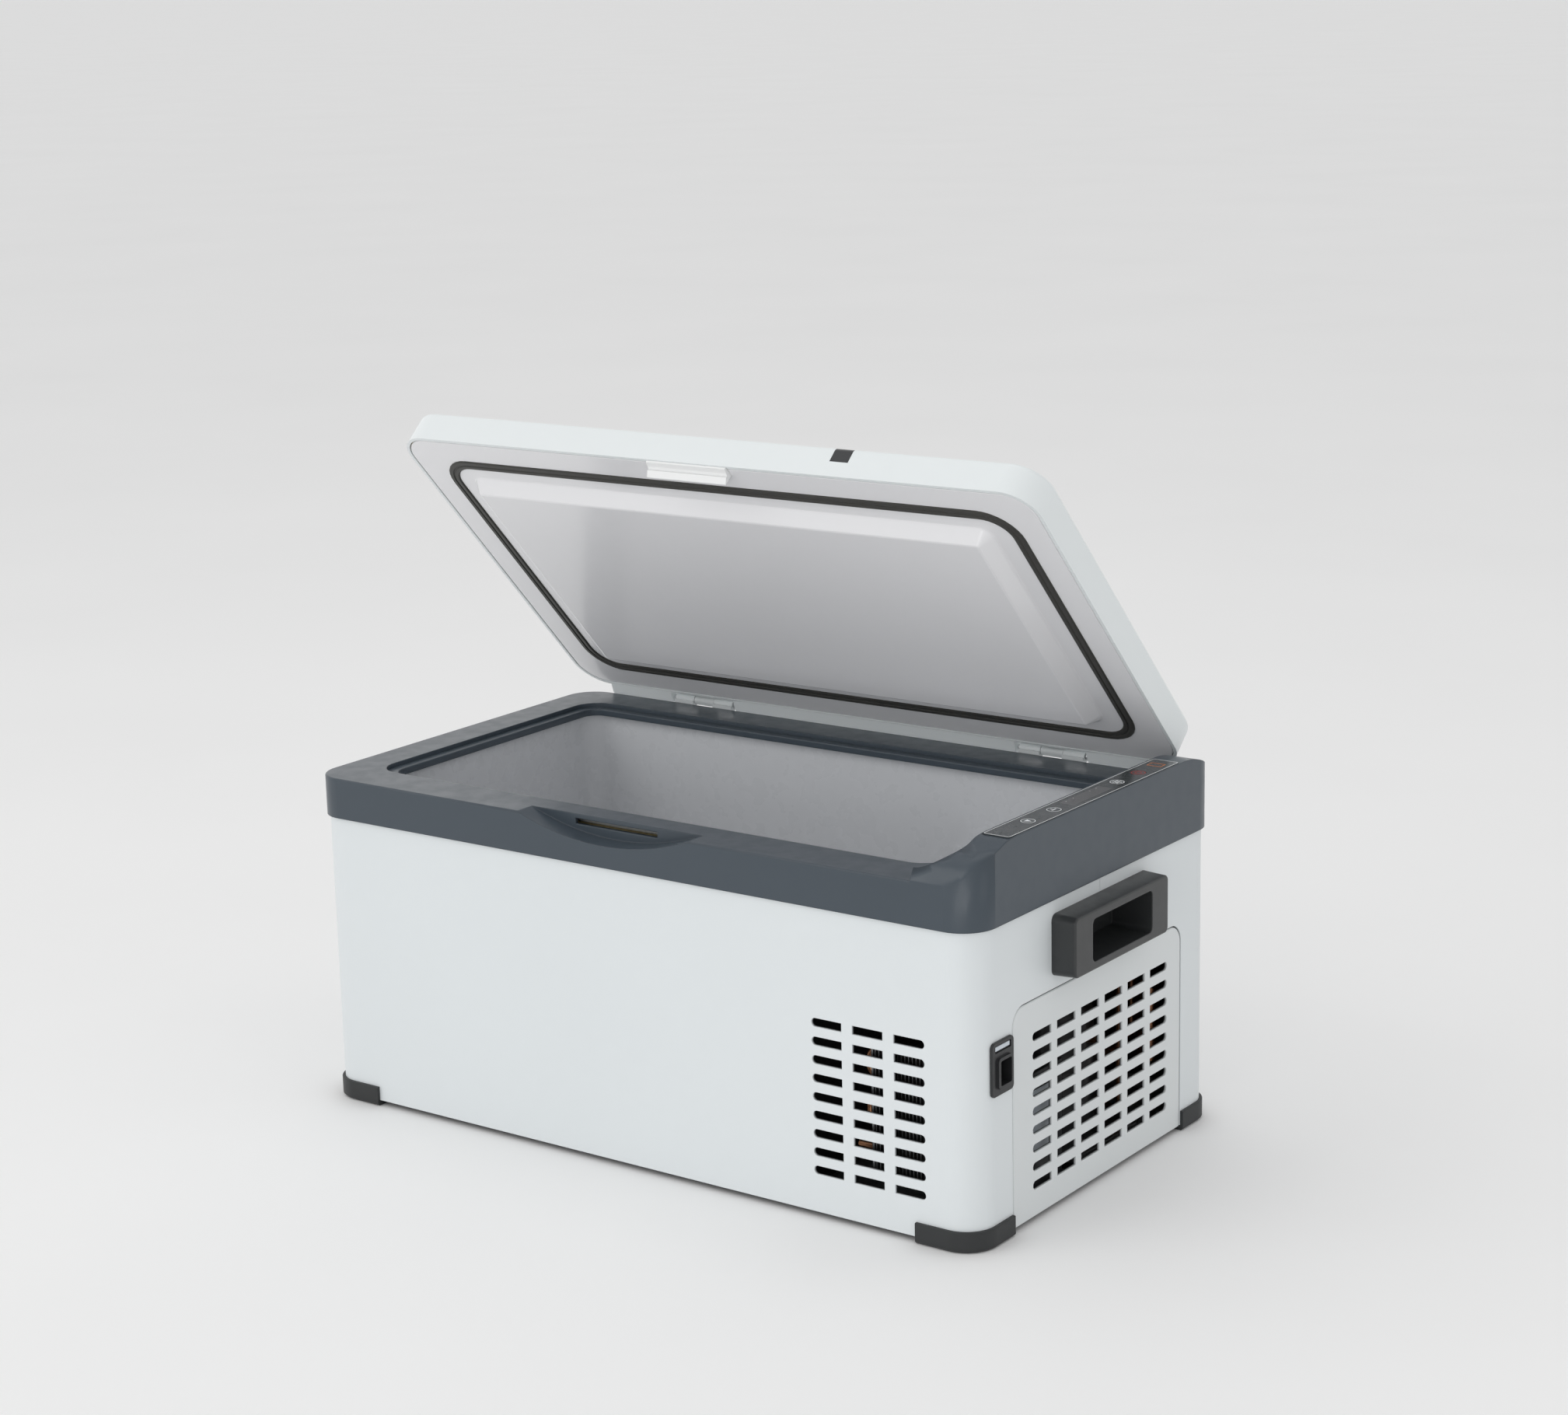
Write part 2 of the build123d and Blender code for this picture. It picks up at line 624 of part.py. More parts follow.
with BuildPart() as foot_screws:
    with BuildSketch(at_height(0.4)):
        for side_x, side_y in CORNERS.values():
            with Locations(
                (side_x * (LENGTH / 2 - 13), side_y * (DEPTH / 2 - 36)),
                (side_x * (LENGTH / 2 - 38), side_y * (DEPTH / 2 - 13)),
            ):
                Circle(3.2)
    extrude(amount=1.8)
foot_screws.part.label = "foot_screws"

# Power inlet --------------------------------------------------------------------

with BuildPart() as power_inlet:
    extrude(rounded(RIGHT_FACE.offset(0.1), INLET_Y, INLET_Z, 3.5), amount=1.8)
    fillet(power_inlet.edges().group_by(Axis.X)[-1], 0.6)
    socket_y = (INLET_Y[0] + 5.5, INLET_Y[1] - 3.6)
    socket_z = (INLET_Z[0] + 4.5, INLET_Z[0] + 26.0)
    extrude(rounded(RIGHT_FACE.offset(1.9), socket_y, socket_z, 3), amount=1.6)
    extrude(
        rounded(RIGHT_FACE.offset(0.1), (INLET_Y[0] + 4.0, INLET_Y[1] - 3.4), (INLET_Z[0] + 3.4, INLET_Z[1] - 3.4), 1.8),
        amount=-12,
    )
    extrude(
        rounded(
            RIGHT_FACE.offset(3.5),
            (socket_y[0] + 2.6, socket_y[1] - 1.6),
            (socket_z[0] + 2.2, socket_z[1] - 2.2),
            1.2,
        ),
        amount=-12.9,
        mode=Mode.SUBTRACT,
    )
    extrude(
        rounded(RIGHT_FACE.offset(1.9), (INLET_Y[0] + 3.5, INLET_Y[1] - 3.5), (INLET_Z[1] - 7.2, INLET_Z[1] - 2.4), 0.8),
        amount=-1.2,
        mode=Mode.SUBTRACT,
    )
power_inlet.part.label = "power_inlet"

with BuildPart() as inlet_pins:
    socket_mid_y = (socket_y[0] + socket_y[1]) / 2 - 1
    with BuildSketch(RIGHT_FACE.offset(-9.4)):
        with Locations((socket_mid_y, socket_z[0] + 6.6), (socket_mid_y, socket_z[1] - 6.6)):
            Circle(1.1)
    extrude(amount=8.5)
inlet_pins.part.label = "inlet_pins"

# Cooling unit -------------------------------------------------------------------

MOUNT_Z = PAN_BOTTOM + PAN_WALL
COMPRESSOR_AT = (212.0, 32.0)
COMPRESSOR_R = 44.0
PLATE_Z = MOUNT_Z + 6.0
MOUNT_SPOTS = [(COMPRESSOR_AT[0] + sx * 52, COMPRESSOR_AT[1] + sy * 38) for sx in (-1, 1) for sy in (-1, 1)]

with BuildPart() as rubber_mounts:
    with BuildSketch(at_height(MOUNT_Z)):
        with Locations(*MOUNT_SPOTS):
            Circle(7)
            Circle(2.2, mode=Mode.SUBTRACT)
    extrude(amount=PLATE_Z - MOUNT_Z)
rubber_mounts.part.label = "rubber_mounts"

with BuildPart() as mounting_plate:
    with BuildSketch(at_height(PLATE_Z)):
        with Locations(COMPRESSOR_AT):
            RectangleRounded(122, 94, 8)
        with Locations(*MOUNT_SPOTS):
            Circle(2.2, mode=Mode.SUBTRACT)
    extrude(amount=2.5)
mounting_plate.part.label = "mounting_plate"

with BuildPart() as mount_bolts:
    with BuildSketch(at_height(PLATE_Z + 2.5)):
        with Locations(*MOUNT_SPOTS):
            RegularPolygon(4.2, 6)
    extrude(amount=3.2)
    with BuildSketch(at_height(MOUNT_Z)):
        with Locations(*MOUNT_SPOTS):
            Circle(2.0)
    extrude(amount=PLATE_Z + 2.5 - MOUNT_Z)
mount_bolts.part.label = "mount_bolts"

COMPRESSOR_BASE = PLATE_Z + 2.5
with BuildPart() as compressor:
    core = (COMPRESSOR_AT[0], MIDDLE_Y + COMPRESSOR_AT[1], COMPRESSOR_BASE)
    with BuildSketch(Plane(origin=core, x_dir=(1, 0, 0), z_dir=(0, -1, 0))):
        with BuildLine():
            Polyline((0, 0), (COMPRESSOR_R - 10, 0))
            RadiusArc((COMPRESSOR_R - 10, 0), (COMPRESSOR_R, 10), -10)
            Polyline(
                (COMPRESSOR_R, 10),
                (COMPRESSOR_R, 52),
                (COMPRESSOR_R + 2, 52),
                (COMPRESSOR_R + 2, 57),
                (COMPRESSOR_R - 1, 57),
                (COMPRESSOR_R - 1, 82),
            )
            RadiusArc((COMPRESSOR_R - 1, 82), (COMPRESSOR_R - 21, 102), -20)
            Polyline((COMPRESSOR_R - 21, 102), (0, 104), (0, 0))
        make_face()
    revolve(axis=Axis(core, (0, 0, 1)))
compressor.part.label = "compressor"

with BuildPart() as terminal_cover:
    add(
        box_between(
            (COMPRESSOR_AT[0] - 62, COMPRESSOR_AT[1] - 16, 48),
            (COMPRESSOR_AT[0] - 48, COMPRESSOR_AT[1] + 16, 92),
        )
    )
    fillet(terminal_cover.edges().filter_by(Axis.Z), 2)
terminal_cover.part.label = "terminal_cover"

CONDENSER_X = (200.0, 260.0)
CONDENSER_Y = (-151.0, -127.0)
CONDENSER_Z = (40.0, 132.0)
CONDENSER_PASSES = [CONDENSER_Z[0] + 12 + 17 * index for index in range(5)]
FIN_COUNT = 21
with BuildPart() as condenser_fins:
    fin_pitch = (CONDENSER_X[1] - CONDENSER_X[0] - 1.6) / (FIN_COUNT - 1)
    middle_y = (CONDENSER_Y[0] + CONDENSER_Y[1]) / 2
    middle_z = (CONDENSER_Z[0] + CONDENSER_Z[1]) / 2
    for index in range(FIN_COUNT):
        fin_x = CONDENSER_X[0] + index * fin_pitch
        thick = 1.6 if index in (0, FIN_COUNT - 1) else 0.5
        with BuildSketch(SIDE_PROFILE.offset(fin_x)):
            with Locations((middle_y, middle_z)):
                Rectangle(CONDENSER_Y[1] - CONDENSER_Y[0], CONDENSER_Z[1] - CONDENSER_Z[0])
        extrude(amount=thick)
    with BuildSketch(SIDE_PROFILE.offset(CONDENSER_X[0] - 1)):
        with Locations(*[(middle_y, pass_z) for pass_z in CONDENSER_PASSES]):
            Circle(2.65)
    extrude(amount=CONDENSER_X[1] - CONDENSER_X[0] + 2, mode=Mode.SUBTRACT)
condenser_fins.part.label = "condenser_fins"

with BuildPart() as condenser_tube:
    reach = (CONDENSER_X[0] - 9, CONDENSER_X[1] + 9)
    corners = []
    for index, pass_z in enumerate(CONDENSER_PASSES):
        ends = reach if index % 2 == 0 else reach[::-1]
        corners += [(ends[0], middle_y, pass_z), (ends[1], middle_y, pass_z)]
    corners[0] = (CONDENSER_X[0] - 18, middle_y, CONDENSER_PASSES[0])
    add(tube(corners, 6.0, 2.6))
condenser_tube.part.label = "condenser_tube"

FAN_AT = (230.0, 86.0)
FAN_Y = (-125.0, -103.0)
FAN_HALF = 40.0
ROTOR_R = 35.5
FAN_PLANE = Plane(origin=(FAN_AT[0], MIDDLE_Y + FAN_Y[0], FAN_AT[1]), x_dir=(1, 0, 0), z_dir=(0, 1, 0))
with BuildPart() as fan_shroud:
    with BuildSketch(FAN_PLANE):
        RectangleRounded(2 * FAN_HALF, 2 * FAN_HALF, 4)
        Circle(ROTOR_R + 1.5, mode=Mode.SUBTRACT)
        with GridLocations(71, 71, 2, 2):
            Circle(2.1, mode=Mode.SUBTRACT)
    extrude(amount=FAN_Y[1] - FAN_Y[0])
    with BuildSketch(FAN_PLANE.offset(FAN_Y[1] - FAN_Y[0] - 3)):
        with Locations((0, 0)):
            Circle(17)
        with PolarLocations(0, 4, 45):
            Rectangle(2 * ROTOR_R + 5, 5)
    extrude(amount=3)
    with BuildSketch(FAN_PLANE):
        RectangleRounded(2 * FAN_HALF, 2 * FAN_HALF, 4)
    extrude(amount=FAN_Y[1] - FAN_Y[0], mode=Mode.INTERSECT)
fan_shroud.part.label = "fan_shroud"

with BuildPart() as fan_motor:
    with BuildSketch(FAN_PLANE.offset(FAN_Y[1] - FAN_Y[0] - 10)):
        Circle(12)
    extrude(amount=7)
    with BuildSketch(FAN_PLANE.offset(3)):
        Circle(1.5)
    extrude(amount=12)
fan_motor.part.label = "fan_motor"

with BuildPart() as fan_rotor:
    with BuildSketch(FAN_PLANE.offset(1.5)):
        Circle(15.5)
    extrude(amount=15)
    with BuildSketch(FAN_PLANE.offset(6.5)):
        Circle(13.2)
    extrude(amount=12, mode=Mode.SUBTRACT)
    with BuildSketch(FAN_PLANE):
        Circle(1.55)
    extrude(amount=12, mode=Mode.SUBTRACT)
    for index in range(7):
        turn = radians(index * 360 / 7)
        outward = FAN_PLANE.x_dir * cos(turn) + FAN_PLANE.y_dir * sin(turn)
        along_rim = FAN_PLANE.y_dir * cos(turn) - FAN_PLANE.x_dir * sin(turn)
        blade_root = Plane(origin=FAN_PLANE.origin, x_dir=along_rim, z_dir=outward).offset(14.9)
        with BuildSketch(blade_root):
            with Locations(Location((0, 9, 0), (0, 0, 40))):
                Rectangle(20, 1.6)
        extrude(amount=ROTOR_R - 15.4)
fan_rotor.part.label = "fan_rotor"

with BuildPart() as power_module:
    module_low = (256.0, -96.0, PLATE_Z)
    module_high = (276.0, -34.0, 98.0)
    add(box_between(module_low, module_high))
    fillet(power_module.edges().filter_by(Axis.Z), 2)
    with BuildSketch(Plane(origin=(module_low[0], MIDDLE_Y - 65, 57), x_dir=(0, 1, 0), z_dir=(-1, 0, 0))):
        with GridLocations(6, 0, 9, 1):
            Rectangle(1.6, 66)
    extrude(amount=6)
power_module.part.label = "power_module"

with BuildPart() as filter_drier:
    with BuildSketch(at_height(50)):
        with Locations((264, 104)):
            Circle(8)
    extrude(amount=62)
    chamfer(filter_drier.edges().group_by(Axis.Z)[0], 4)
    chamfer(filter_drier.edges().group_by(Axis.Z)[-1], 4)
filter_drier.part.label = "filter_drier"

with BuildPart() as suction_pipe:
    add(
        tube(
            [
                (COMPRESSOR_AT[0] + 34, COMPRESSOR_AT[1] + 46, 62),
                (COMPRESSOR_AT[0] + 34, 112, 62),
                (COMPRESSOR_AT[0] + 34, 112, 142),
                (150, 112, 142),
            ],
            8.0,
            3.2,
        )
    )
suction_pipe.part.label = "suction_pipe"

with BuildPart() as discharge_pipe:
    add(
        tube(
            [
                (COMPRESSOR_AT[0] + 43.2, COMPRESSOR_AT[1], 88),
                (267, COMPRESSOR_AT[1], 88),
                (267, COMPRESSOR_AT[1], 134),
                (267, 58, 134),
                (267, 58, 28),
                (190, 100, 28),
            ],
            7.0,
            2.4,
        )
    )
discharge_pipe.part.label = "discharge_pipe"

with BuildPart() as drier_pipe:
    add(tube([(264, 104, 112.1), (264, 104, 140), (264, 30, 140), (200, -40, 140)], 8.0, 2.0))
drier_pipe.part.label = "drier_pipe"

# Lid, modelled in the hinge frame ----------------------------------------------

LID_TOP = LID_LIP + LID_HEIGHT
TRIM_X = (100.5, 115.5)
TRIM_DROP = 13.0
TRIM_DEEP = 0.8


def lid_outline(height, inset, radius=None):
    corner = LID_R - inset if radius is None else radius
    return rounded(
        LID_PLANE.offset(height),
        (LID_X[0] + inset, LID_X[1] - inset),
        (LID_Y[0] + inset, LID_Y[1] - inset),
        corner,
    )


def trim_form(depth):
    """Band across the lid top that turns down over the front edge."""
    with BuildPart() as band:
        with BuildSketch(LID_SIDE.offset(TRIM_X[0])):
            front, rear = LID_Y[0], LID_Y[1]
            with BuildLine():
                Polyline(
                    (front, LID_TOP - TRIM_DROP),
                    (front, LID_TOP - 4),
                )
                RadiusArc((front, LID_TOP - 4), (front + 4, LID_TOP), 4)
                Polyline(
                    (front + 4, LID_TOP),
                    (rear - 12, LID_TOP),
                    (rear - 12, LID_TOP - depth),
                    (front + 4, LID_TOP - depth),
                )
                RadiusArc((front + 4, LID_TOP - depth), (front + depth, LID_TOP - 4), -(4 - depth))
                Polyline(
                    (front + depth, LID_TOP - 4),
                    (front + depth, LID_TOP - TRIM_DROP),
                    (front, LID_TOP - TRIM_DROP),
                )
            make_face()
        extrude(amount=TRIM_X[1] - TRIM_X[0])
    return band.part


with BuildPart() as lid_shell:
    extrude(lid_outline(LID_LIP, 0), amount=LID_HEIGHT)
    lid_axis = Axis(LID_PLANE.origin, LID_PLANE.z_dir)
    fillet(lid_shell.edges().group_by(lid_axis)[-1], 4)
    extrude(lid_outline(LID_LIP, LID_WALL), amount=LID_HEIGHT - LID_WALL, mode=Mode.SUBTRACT)
    add(trim_form(TRIM_DEEP), mode=Mode.SUBTRACT)
lid_shell.part.label = "lid_shell"

with BuildPart() as lid_trim_strip:
    add(trim_form(TRIM_DEEP - 0.05))
lid_trim_strip.part.label = "lid_trim_strip"

GASKET_X = (-265.5, 241.0)
GASKET_Y = (-132.0 - HINGE_Y, 135.5 - HINGE_Y)
GASKET_WIDTH = 6.6
PLATEAU_X = (-243.0, 220.0)
PLATEAU_Y = (-119.5 - HINGE_Y, 121.0 - HINGE_Y)
PLATEAU_DROP = 10.0
with BuildPart() as lid_liner:
    extrude(lid_outline(LID_LIP + 0.2, LID_WALL + 0.7), amount=2)
    extrude(
        rounded(
            LID_PLANE.offset(LID_LIP + 0.2),
            (PLATEAU_X[0] - 3, PLATEAU_X[1] + 3),
            (PLATEAU_Y[0] - 3, PLATEAU_Y[1] + 3),
            9,
        ),
        amount=-(PLATEAU_DROP + 0.2),
        taper=16,
    )
    extrude(
        rounded(
            LID_PLANE.offset(LID_LIP + 2.2),
            (PLATEAU_X[0] + 1, PLATEAU_X[1] - 1),
            (PLATEAU_Y[0] + 1, PLATEAU_Y[1] - 1),
            7,
        ),
        amount=-(PLATEAU_DROP + 0.2),
        taper=16,
        mode=Mode.SUBTRACT,
    )
    extrude(
        rounded(
            LID_PLANE.offset(LID_LIP + 0.2),
            (GASKET_X[0] - 0.1, GASKET_X[1] + 0.1),
            (GASKET_Y[0] - 0.1, GASKET_Y[1] + 0.1),
            26,
        ),
        amount=1.2,
        mode=Mode.SUBTRACT,
    )
    extrude(
        rounded(
            LID_PLANE.offset(LID_LIP + 0.2),
            (GASKET_X[0] + GASKET_WIDTH, GASKET_X[1] - GASKET_WIDTH),
            (GASKET_Y[0] + GASKET_WIDTH, GASKET_Y[1] - GASKET_WIDTH),
            19,
        ),
        amount=1.2,
    )
lid_liner.part.label = "lid_liner"

with BuildPart() as lid_gasket:
    extrude(
        rounded(LID_PLANE.offset(LID_LIP - 1.2), GASKET_X, GASKET_Y, 26),
        amount=2.5,
    )
    extrude(
        rounded(
            LID_PLANE.offset(LID_LIP - 1.2),
            (GASKET_X[0] + GASKET_WIDTH - 0.2, GASKET_X[1] - GASKET_WIDTH + 0.2),
            (GASKET_Y[0] + GASKET_WIDTH - 0.2, GASKET_Y[1] - GASKET_WIDTH + 0.2),
            19.4,
        ),
        amount=2.5,
        mode=Mode.SUBTRACT,
    )
    gasket_low = lid_gasket.edges().group_by(Axis(LID_PLANE.origin, LID_PLANE.z_dir))[0]
    chamfer(gasket_low, 1.0)
lid_gasket.part.label = "lid_gasket"

with BuildPart() as lid_foam:
    extrude(lid_outline(LID_LIP + 2.4, LID_WALL + 0.2), amount=LID_HEIGHT - LID_WALL - 2.6)
lid_foam.part.label = "lid_foam"

HOOK_WIDTH = 69.0
with BuildPart() as latch_hook:
    with BuildSketch(LID_SIDE.offset(LATCH_X - HOOK_WIDTH / 2)):
        with BuildLine():
            hook_front = LID_Y[0] + LID_WALL + 0.9
            Polyline(
                (hook_front, LID_LIP + 0.1),
                (hook_front, LID_LIP - 0.1),
                (hook_front - 2.6, LID_LIP - 0.1),
                (hook_front - 2.6, LID_LIP - 1.9),
                (hook_front + 1.0, LID_LIP - 2.6),
                (hook_front + 3.6, LID_LIP - 3.6),
                (hook_front + 2.6, LID_LIP - 4.6),
                (hook_front + 5.8, LID_LIP - 8.6),
                (hook_front + 6.4, LID_LIP - 8.6),
                (hook_front + 6.4, LID_LIP + 0.1),
                (hook_front, LID_LIP + 0.1),
            )
        make_face()
    extrude(amount=HOOK_WIDTH)
latch_hook.part.label = "latch_hook"

# Hinges -------------------------------------------------------------------------

LEAF = 2.0
with BuildPart() as hinge_body_leaves:
    for hinge_x in HINGES_X:
        for side in (-1, 1):
            knuckle_mid = hinge_x + side * HINGE_WIDTH / 3
            knuckle_plane = SIDE_PROFILE.offset(knuckle_mid - HINGE_WIDTH / 6 + 0.3)
            with BuildSketch(knuckle_plane):
                with Locations((HINGE_Y, HINGE_Z)):
                    Circle(KNUCKLE_R)
                with Locations((DEPTH / 2 + LEAF / 2 + 0.1, HINGE_Z - 8)):
                    Rectangle(LEAF, 16)
                with Locations((DEPTH / 2 + 2.6, HINGE_Z - 3)):
                    Rectangle(5, 4)
                with Locations((HINGE_Y, HINGE_Z)):
                    Circle(PIN_R + 0.01, mode=Mode.SUBTRACT)
            extrude(amount=HINGE_WIDTH / 3 - 0.6)
        add(
            box_between(
                (hinge_x - HINGE_WIDTH / 2, DEPTH / 2 + 0.1, 222),
                (hinge_x + HINGE_WIDTH / 2, DEPTH / 2 + 0.1 + LEAF, HINGE_Z - 8),
            )
        )
hinge_body_leaves.part.label = "hinge_body_leaves"

with BuildPart() as hinge_lid_leaves:
    for hinge_x in HINGES_X:
        with BuildSketch(LID_SIDE.offset(hinge_x - HINGE_WIDTH / 6)):
            Circle(KNUCKLE_R - 0.2)
            with Locations((LID_Y[1] + 3.2, 4.6)):
                Rectangle(6, 2)
            with Locations((0 - 1.6, 3.2)):
                Rectangle(4.4, 4.2)
            with Locations((LID_Y[1] + 0.1 + LEAF / 2, 8)):
                Rectangle(LEAF, 8)
            Circle(PIN_R + 0.06, mode=Mode.SUBTRACT)
        extrude(amount=HINGE_WIDTH / 3)
        with BuildSketch(LID_PLANE.offset(5.6)):
            with Locations((hinge_x, LID_Y[1] + 0.1 + LEAF / 2)):
                Rectangle(HINGE_WIDTH, LEAF)
        extrude(amount=14)
hinge_lid_leaves.part.label = "hinge_lid_leaves"

with BuildPart() as hinge_pins:
    for hinge_x in HINGES_X:
        with BuildSketch(SIDE_PROFILE.offset(hinge_x - HINGE_WIDTH / 2 - 0.6)):
            with Locations((HINGE_Y, HINGE_Z)):
                Circle(PIN_R)
        extrude(amount=HINGE_WIDTH + 1.2)
        for end_x, direction in ((hinge_x - HINGE_WIDTH / 2, -1), (hinge_x + HINGE_WIDTH / 2, 1)):
            with BuildSketch(SIDE_PROFILE.offset(end_x)):
                with Locations((HINGE_Y, HINGE_Z)):
                    Circle(PIN_R + 1)
            extrude(amount=direction * 1.2)
hinge_pins.part.label = "hinge_pins"

with BuildPart() as hinge_screws:
    with BuildSketch(facing_rear(DEPTH / 2 + 0.1 + LEAF)):
        for hinge_x in HINGES_X:
            with Locations((-hinge_x - 18, 231), (-hinge_x + 18, 231)):
                Circle(3)
    extrude(amount=1.2)
hinge_screws.part.label = "hinge_screws"

with BuildPart() as hinge_lid_screws:
    lid_rear = Plane(
        origin=LID_PLANE.from_local_coords((0, LID_Y[1] + 0.1 + LEAF, 12)),
        x_dir=(-1, 0, 0),
        z_dir=LID_PLANE.y_dir,
    )
    with BuildSketch(lid_rear):
        for hinge_x in HINGES_X:
            with Locations((-hinge_x - 18, 0), (-hinge_x + 18, 0)):
                Circle(3)
    extrude(amount=1.2)
hinge_lid_screws.part.label = "hinge_lid_screws"

# Export -------------------------------------------------------------------------

PIECES = [
    front_shell,
    rear_shell,
    side_vent_panel,
    base_pan,
    collar,
    control_overlay,
    display_window,
    control_board,
    liner_tub,
    evaporator_plate,
    foam_insulation,
    light_lens,
    handle_right,
    handle_left,
    handle_screws,
    foot_screws,
    power_inlet,
    inlet_pins,
    rubber_mounts,
    mounting_plate,
    mount_bolts,
    compressor,
    terminal_cover,
    condenser_fins,
    condenser_tube,
    fan_shroud,
    fan_motor,
    fan_rotor,
    power_module,
    filter_drier,
    suction_pipe,
    discharge_pipe,
    drier_pipe,
    lid_shell,
    lid_trim_strip,
    lid_liner,
    lid_gasket,
    lid_foam,
    latch_hook,
    hinge_body_leaves,
    hinge_lid_leaves,
    hinge_pins,
    hinge_screws,
    hinge_lid_screws,
]
for piece in PIECES:
    export_step(piece.part, f"parts/{piece.part.label}.step")
for group in (keys, feet):
    for name, part in group.items():
        export_step(part, f"parts/{name}.step")
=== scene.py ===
import json
import math

import bmesh
import bpy
from mathutils import Matrix, Vector


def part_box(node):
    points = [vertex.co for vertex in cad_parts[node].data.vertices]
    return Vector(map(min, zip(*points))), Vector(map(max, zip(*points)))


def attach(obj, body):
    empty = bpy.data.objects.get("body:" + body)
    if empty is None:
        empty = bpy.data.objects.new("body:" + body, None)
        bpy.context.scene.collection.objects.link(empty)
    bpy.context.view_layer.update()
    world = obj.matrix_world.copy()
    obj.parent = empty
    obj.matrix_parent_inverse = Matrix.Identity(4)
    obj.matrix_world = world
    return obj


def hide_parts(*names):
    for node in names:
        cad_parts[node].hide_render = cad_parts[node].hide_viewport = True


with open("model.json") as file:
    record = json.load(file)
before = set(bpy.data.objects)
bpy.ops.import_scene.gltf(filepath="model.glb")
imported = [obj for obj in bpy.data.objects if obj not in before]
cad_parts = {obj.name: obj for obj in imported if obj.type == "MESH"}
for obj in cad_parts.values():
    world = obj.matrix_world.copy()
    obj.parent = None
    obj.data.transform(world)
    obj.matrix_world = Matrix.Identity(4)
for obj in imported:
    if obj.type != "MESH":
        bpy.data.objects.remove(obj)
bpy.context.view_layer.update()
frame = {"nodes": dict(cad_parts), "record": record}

nodes = frame["nodes"]


# ---------------------------------------------------------------- materials

def srgb(r, g, b):
    def one(v):
        v /= 255
        return v / 12.92 if v <= 0.04045 else ((v + 0.055) / 1.055) ** 2.4
    return (one(r), one(g), one(b), 1.0)


class Graph:
    """A material's node tree, built up by short calls."""

    def __init__(self, name):
        self.material = bpy.data.materials.new(name)
        self.material.use_nodes = True
        self.tree = self.material.node_tree
        self.tree.nodes.clear()
        self.shader = self.add("ShaderNodeBsdfPrincipled")
        output = self.add("ShaderNodeOutputMaterial")
        self.link(self.shader.outputs[0], output.inputs[0])
        self.place = self.add("ShaderNodeTexCoord").outputs["Object"]

    def add(self, kind, **values):
        node = self.tree.nodes.new(kind)
        for key, value in values.items():
            setattr(node, key, value)
        return node

    def link(self, source, target):
        self.tree.links.new(source, target)

    def set(self, **values):
        for key, value in values.items():
            self.shader.inputs[key.replace("_", " ")].default_value = value

    def stretched(self, scale):
        mapping = self.add("ShaderNodeMapping")
        mapping.inputs["Scale"].default_value = scale
        self.link(self.place, mapping.inputs["Vector"])
        return mapping.outputs[0]

    def noise(self, scale, detail=3.0, rough=0.5, vector=None):
        node = self.add("ShaderNodeTexNoise")
        node.inputs["Scale"].default_value = scale
        node.inputs["Detail"].default_value = detail
        node.inputs["Roughness"].default_value = rough
        self.link(vector or self.place, node.inputs["Vector"])
        return node.outputs["Fac"]

    def ramp(self, factor, stops):
        node = self.add("ShaderNodeValToRGB")
        elements = node.color_ramp.elements
        while len(elements) < len(stops):
            elements.new(0.5)
        for element, (position, colour) in zip(elements, stops):
            element.position = position
            element.color = colour
        self.link(factor, node.inputs[0])
        return node.outputs[0]

    def spread(self, factor, low, high, at=(0.3, 0.7)):
        node = self.add("ShaderNodeMapRange")
        for index, value in enumerate((at[0], at[1], low, high)):
            node.inputs[index + 1].default_value = value
        self.link(factor, node.inputs[0])
        return node.outputs[0]

    def bump(self, height, strength, distance, normal=None):
        node = self.add("ShaderNodeBump")
        node.inputs["Strength"].default_value = strength
        node.inputs["Distance"].default_value = distance
        self.link(height, node.inputs["Height"])
        if normal is not None:
            self.link(normal, node.inputs["Normal"])
        return node.outputs[0]

    def soft_edges(self, radius):
        node = self.add("ShaderNodeBevel", samples=4)
        node.inputs["Radius"].default_value = radius
        return node.outputs[0]


def shade(colour, factor):
    return tuple(min(1.0, c * factor) for c in colour[:3]) + (1.0,)


def plastic(name, colour, rough=0.42, grain=1400, bump=0.10, mottle=0.035, edge=0.0005, coat=0.0,
            inside=None):
    """Moulded plastic: grain, faint flow mottling, soft edges, and the inside painted dark as shade
    where the inside mask says so.
    """
    g = Graph(name)
    flow = g.noise(5.0, 3.0, 0.5)
    fine = g.noise(90.0, 2.0)
    tone = g.add("ShaderNodeMath", operation="MULTIPLY_ADD")
    g.link(fine, tone.inputs[0])
    tone.inputs[1].default_value = 0.3
    g.link(flow, tone.inputs[2])
    colour_out = g.ramp(
        tone.outputs[0], [(0.40, shade(colour, 1 - mottle)), (0.90, shade(colour, 1 + mottle))]
    )
    # Painted shade: where the inside mask is 1 the colour turns to the dark shade colour.
    if inside is not None:
        mix = g.add("ShaderNodeMix", data_type="RGBA")
        g.link(inside(g), mix.inputs[0])
        g.link(colour_out, mix.inputs[6])
        mix.inputs[7].default_value = PAINTED_SHADE
        colour_out = mix.outputs[2]
    g.link(colour_out, g.shader.inputs["Base Color"])
    g.link(g.spread(fine, rough - 0.04, rough + 0.05), g.shader.inputs["Roughness"])
    soft = g.soft_edges(edge) if edge else None
    g.link(g.bump(g.noise(grain, 2.0, 0.6), bump, 0.0001, soft), g.shader.inputs["Normal"])
    g.set(IOR=1.49)
    if coat:
        g.set(Coat_Weight=coat, Coat_Roughness=0.12)
    return g.material


